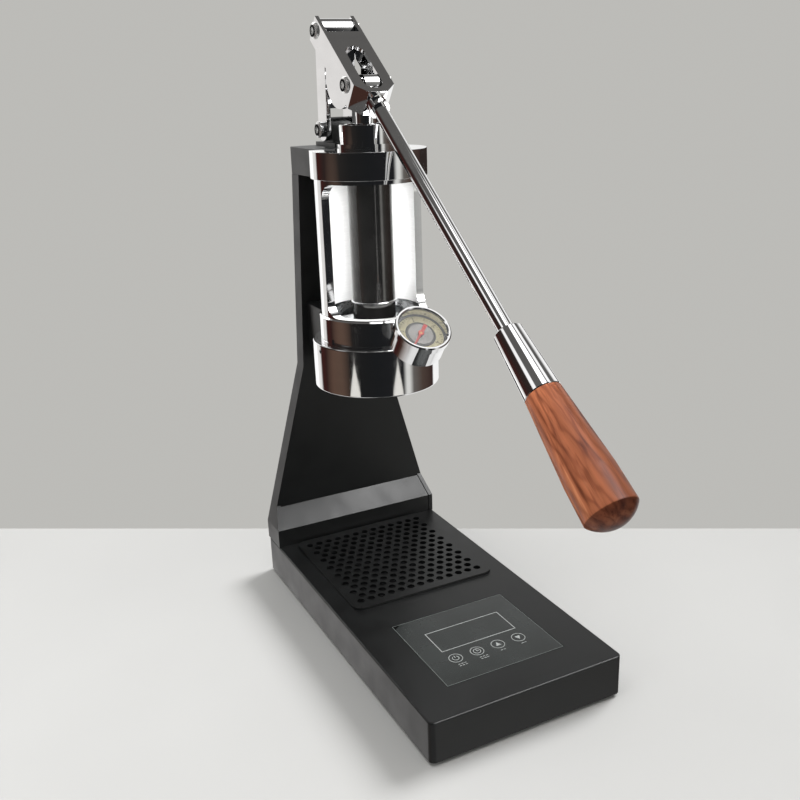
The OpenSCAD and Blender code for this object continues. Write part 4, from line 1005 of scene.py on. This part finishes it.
# Its round patches with their tones, and its round lights with their levels
BROWN_PATCH, BROWN_TONE = Patch(-105, -27, 28, 13), (0.085, 0.048, 0.032)
SHADE_PATCH, SHADE_TONE = Patch(-116, -43, 13, 9), (0.055, 0.026, 0.020)
STUDIO_LIGHTS = (
    (Patch(112, 49, 24, 17), 9.0),
    (Patch(146, 79, 14, 10), 2.4),
    (Patch(-106, 37, 11, 8), 1.0),
    (Patch(-47, 27, 9, 6), 4.0),
    (Patch(-50, -31, 16, 4), 0.3),
    (Patch(64, 64, 9, 6), 1.05),
)

# Tones of its dark band and its bright wedges
BAND_TONE = (0.030, 0.022, 0.020)
WEDGE_TONE = (0.85, 0.83, 0.78)


def round_patch(draft, way, patch):
    """1 inside a round patch, falling to 0 at its outer edge"""
    turn, rise = math.radians(patch.turn), math.radians(patch.rise)
    centre = (math.sin(turn) * math.cos(rise), math.cos(turn) * math.cos(rise), math.sin(rise))
    outer, inner = math.cos(math.radians(patch.outer)), math.cos(math.radians(patch.inner))
    return draft.spread(draft.dot(way, centre), 0.0, 1.0, outer, inner)


def dark_band(draft, around, rise):
    """1 on a level band behind the part and to one side, 0 elsewhere"""
    turn, half_width, half_height = math.radians(31), math.radians(28), math.radians(5.5)
    off = draft.math("ABSOLUTE", draft.math("SUBTRACT", around, turn))
    level = draft.math("LESS_THAN", draft.math("ABSOLUTE", rise), half_height)
    return draft.math("MULTIPLY", draft.math("LESS_THAN", off, half_width), level)


def bright_wedges(draft, around, rise):
    """1 on two patches low in front that narrow upward to a tip, 0 elsewhere"""
    turn, half_width = math.radians(140), math.radians(10)
    tip, foot, slope = math.radians(-16.2), math.radians(-26), 4.3
    off = draft.math("ABSOLUTE", draft.math("SUBTRACT", draft.math("ABSOLUTE", around), turn))
    width = draft.math("MINIMUM", draft.math("MULTIPLY_ADD", rise, -slope, slope * tip), half_width)
    over_foot = draft.math("GREATER_THAN", rise, foot)
    return draft.math("MULTIPLY", draft.math("LESS_THAN", off, width), over_foot)


def studio_tone(draft, yaw):
    """Tone of the mirrored studio in each direction"""
    coords = draft.add("ShaderNodeTexCoord")
    turned = draft.add("ShaderNodeVectorRotate", [("Angle", yaw)], rotation_type="Z_AXIS")
    draft.join(coords.outputs["Generated"], turned.inputs["Vector"])
    way = turned.outputs["Vector"]
    parts = draft.add("ShaderNodeSeparateXYZ")
    draft.join(way, parts.inputs["Vector"])
    around = draft.math("ARCTAN2", parts.outputs["X"], parts.outputs["Y"])
    rise = draft.math("ARCSINE", parts.outputs["Z"])
    tone = draft.ramp(draft.math("MULTIPLY_ADD", around, 1 / math.tau, 0.5), STUDIO_RING)
    over = draft.spread(rise, 0.0, 1.0, math.radians(CEILING_FROM), math.radians(CEILING_FULL))
    tone = draft.blend("MIX", over, tone, CEILING_TONE)
    under = draft.spread(rise, 1.0, 0.0, math.radians(FLOOR_FULL), math.radians(FLOOR_FROM))
    tone = draft.blend("MIX", under, tone, FLOOR_TONE)
    brown = draft.blend("MIX", round_patch(draft, way, BROWN_PATCH), BLACK, BROWN_TONE)
    tone = draft.blend("ADD", 1.0, tone, brown)
    tone = draft.blend("MIX", round_patch(draft, way, SHADE_PATCH), tone, SHADE_TONE)
    tone = draft.blend("MIX", dark_band(draft, around, rise), tone, BAND_TONE)
    for patch, level in STUDIO_LIGHTS:
        glow = draft.blend("MIX", round_patch(draft, way, patch), BLACK, (level, level, level))
        tone = draft.blend("ADD", 1.0, tone, glow)
    return draft.blend("MIX", bright_wedges(draft, around, rise), tone, WEDGE_TONE)


def hang(name, light, direction, lit=None, shading=None):
    """Puts a light into the scene that no reflection shows: those come from the mirrored studio

    lit and shading are collections: the only pieces it lights, and the only ones that shade it.
    """
    holder = bpy.data.objects.new(name, light)
    holder.rotation_euler = Vector(direction).to_track_quat("-Z", "Y").to_euler()
    holder.visible_glossy = False
    if lit:
        holder.light_linking.receiver_collection = lit
    if shading:
        holder.light_linking.blocker_collection = shading
    bpy.context.scene.collection.objects.link(holder)
    return holder


def softbox(name, place, aim, size, power, lit=None):
    """A soft light that faces a point"""
    light = bpy.data.lights.new(name, "AREA")
    light.shape = "RECTANGLE"
    light.size, light.size_y = size
    light.energy = power
    holder = hang(name, light, Vector(aim) - Vector(place), lit)
    holder.location = place


def low_sun(name, direction, softness, power, lit, shading):
    """An even light from one direction"""
    light = bpy.data.lights.new(name, "SUN")
    light.energy = power
    light.angle = softness
    hang(name, light, direction, lit, shading)


class MAKER_OT_stage(Operator):
    """Sets up the table, the background, the lights and the camera"""
    bl_idname = "maker.stage"
    bl_label = "Stage"

    def execute(self, context):
        scene = context.scene
        stage = scene.maker_stage
        scene.view_settings.view_transform = "Standard"
        self.table(stage, scene.maker_colours)
        self.background(scene, stage, scene.maker_colours)
        self.lights(stage)
        self.camera(scene, stage)
        return {"FINISHED"}

    def table(self, stage, tones):
        """A pale table top whose back edge lies level in the picture"""
        made = Finish("table_top", tones.floor, 0.6)
        made.tint(made.grain(6.0), shade(tones.floor, 0.985), shade(tones.floor, 1.015))
        far, back = stage.table_reach, stage.table_back
        mesh = bpy.data.meshes.new("table_top")
        corners = [(-far, -far, 0), (far, -far, 0), (far, back, 0), (-far, back, 0)]
        mesh.from_pydata(corners, [], [(0, 1, 2, 3)])
        mesh.transform(Matrix.Rotation(stage.table_turn, 4, "Z"))
        mesh.materials.append(made.material)
        table = bpy.data.objects.new("table_top", mesh)
        bpy.context.scene.collection.objects.link(table)
        table.visible_glossy = False
        bpy.data.collections.new("lit_table").objects.link(table)

    def background(self, scene, stage, tones):
        """A plain grey room; reflections show a studio with a dark front and a bright back instead"""
        world = bpy.data.worlds.new("studio")
        scene.world = world
        world.use_nodes = True
        draft = Draft(world.node_tree)
        plain_wall = world.node_tree.nodes["Background"]
        plain_wall.inputs["Color"].default_value = (*tones.wall, 1.0)
        mirrored = draft.add("ShaderNodeBackground")
        draft.join(studio_tone(draft, stage.studio_turn), mirrored.inputs["Color"])
        path = draft.add("ShaderNodeLightPath")
        both = draft.add("ShaderNodeMixShader")
        draft.join(path.outputs["Is Glossy Ray"], both.inputs[0])
        draft.join(plain_wall.outputs["Background"], both.inputs[1])
        draft.join(mirrored.outputs["Background"], both.inputs[2])
        draft.join(both.outputs["Shader"], world.node_tree.nodes["World Output"].inputs["Surface"])

    def lights(self, stage):
        """Soft lights from above and the left, one for the cage alone, and one for the table alone"""
        groups = bpy.data.collections
        softbox("top_light", stage.top_spot, stage.aim, stage.top_size, stage.top_power)
        softbox("left_light", stage.left_spot, stage.aim, stage.left_size, stage.left_power)
        softbox("cage_light", stage.cage_spot, stage.cage_aim, stage.cage_size, stage.cage_power,
                lit=groups["lit_cage"])
        low_sun("table_light", stage.table_way, stage.table_soft, stage.table_power,
                lit=groups["lit_table"], shading=groups["shading_base"])

    def camera(self, scene, stage):
        camera = bpy.data.cameras.new("camera")
        camera.lens = stage.lens
        camera.sensor_width = stage.sensor
        holder = bpy.data.objects.new("camera", camera)
        holder.location = stage.eye
        holder.rotation_euler = stage.turn
        scene.collection.objects.link(holder)
        scene.camera = holder


OPERATORS = (
    MAKER_OT_black_metalwork, MAKER_OT_chrome_group, MAKER_OT_linkage, MAKER_OT_lever_handle,
    MAKER_OT_control_panel, MAKER_OT_drip_set, MAKER_OT_gauge, MAKER_OT_fittings, MAKER_OT_stage,
)


class MAKER_PT_sidebar(Panel):
    """Lists the steps that dress the espresso maker"""
    bl_idname = "MAKER_PT_sidebar"
    bl_label = "Lever espresso maker"
    bl_space_type = "VIEW_3D"
    bl_region_type = "UI"
    bl_category = "Espresso"

    def draw(self, context):
        for operator in OPERATORS:
            self.layout.operator(operator.bl_idname)


SETTINGS = (("maker_sizes", MakerSizes), ("maker_colours", MakerColours), ("maker_stage", MakerStage))


def register():
    for name, group in SETTINGS:
        bpy.utils.register_class(group)
        setattr(bpy.types.Scene, name, PointerProperty(type=group))
    for operator in OPERATORS:
        bpy.utils.register_class(operator)
    bpy.utils.register_class(MAKER_PT_sidebar)


def unregister():
    bpy.utils.unregister_class(MAKER_PT_sidebar)
    for operator in reversed(OPERATORS):
        bpy.utils.unregister_class(operator)
    for name, group in reversed(SETTINGS):
        delattr(bpy.types.Scene, name)
        bpy.utils.unregister_class(group)


def main():
    register()
    bpy.ops.maker.black_metalwork()
    bpy.ops.maker.chrome_group()
    bpy.ops.maker.linkage()
    bpy.ops.maker.lever_handle()
    bpy.ops.maker.control_panel()
    bpy.ops.maker.drip_set()
    bpy.ops.maker.gauge()
    bpy.ops.maker.fittings()
    bpy.ops.maker.stage()


if __name__ == "__main__":
    main()
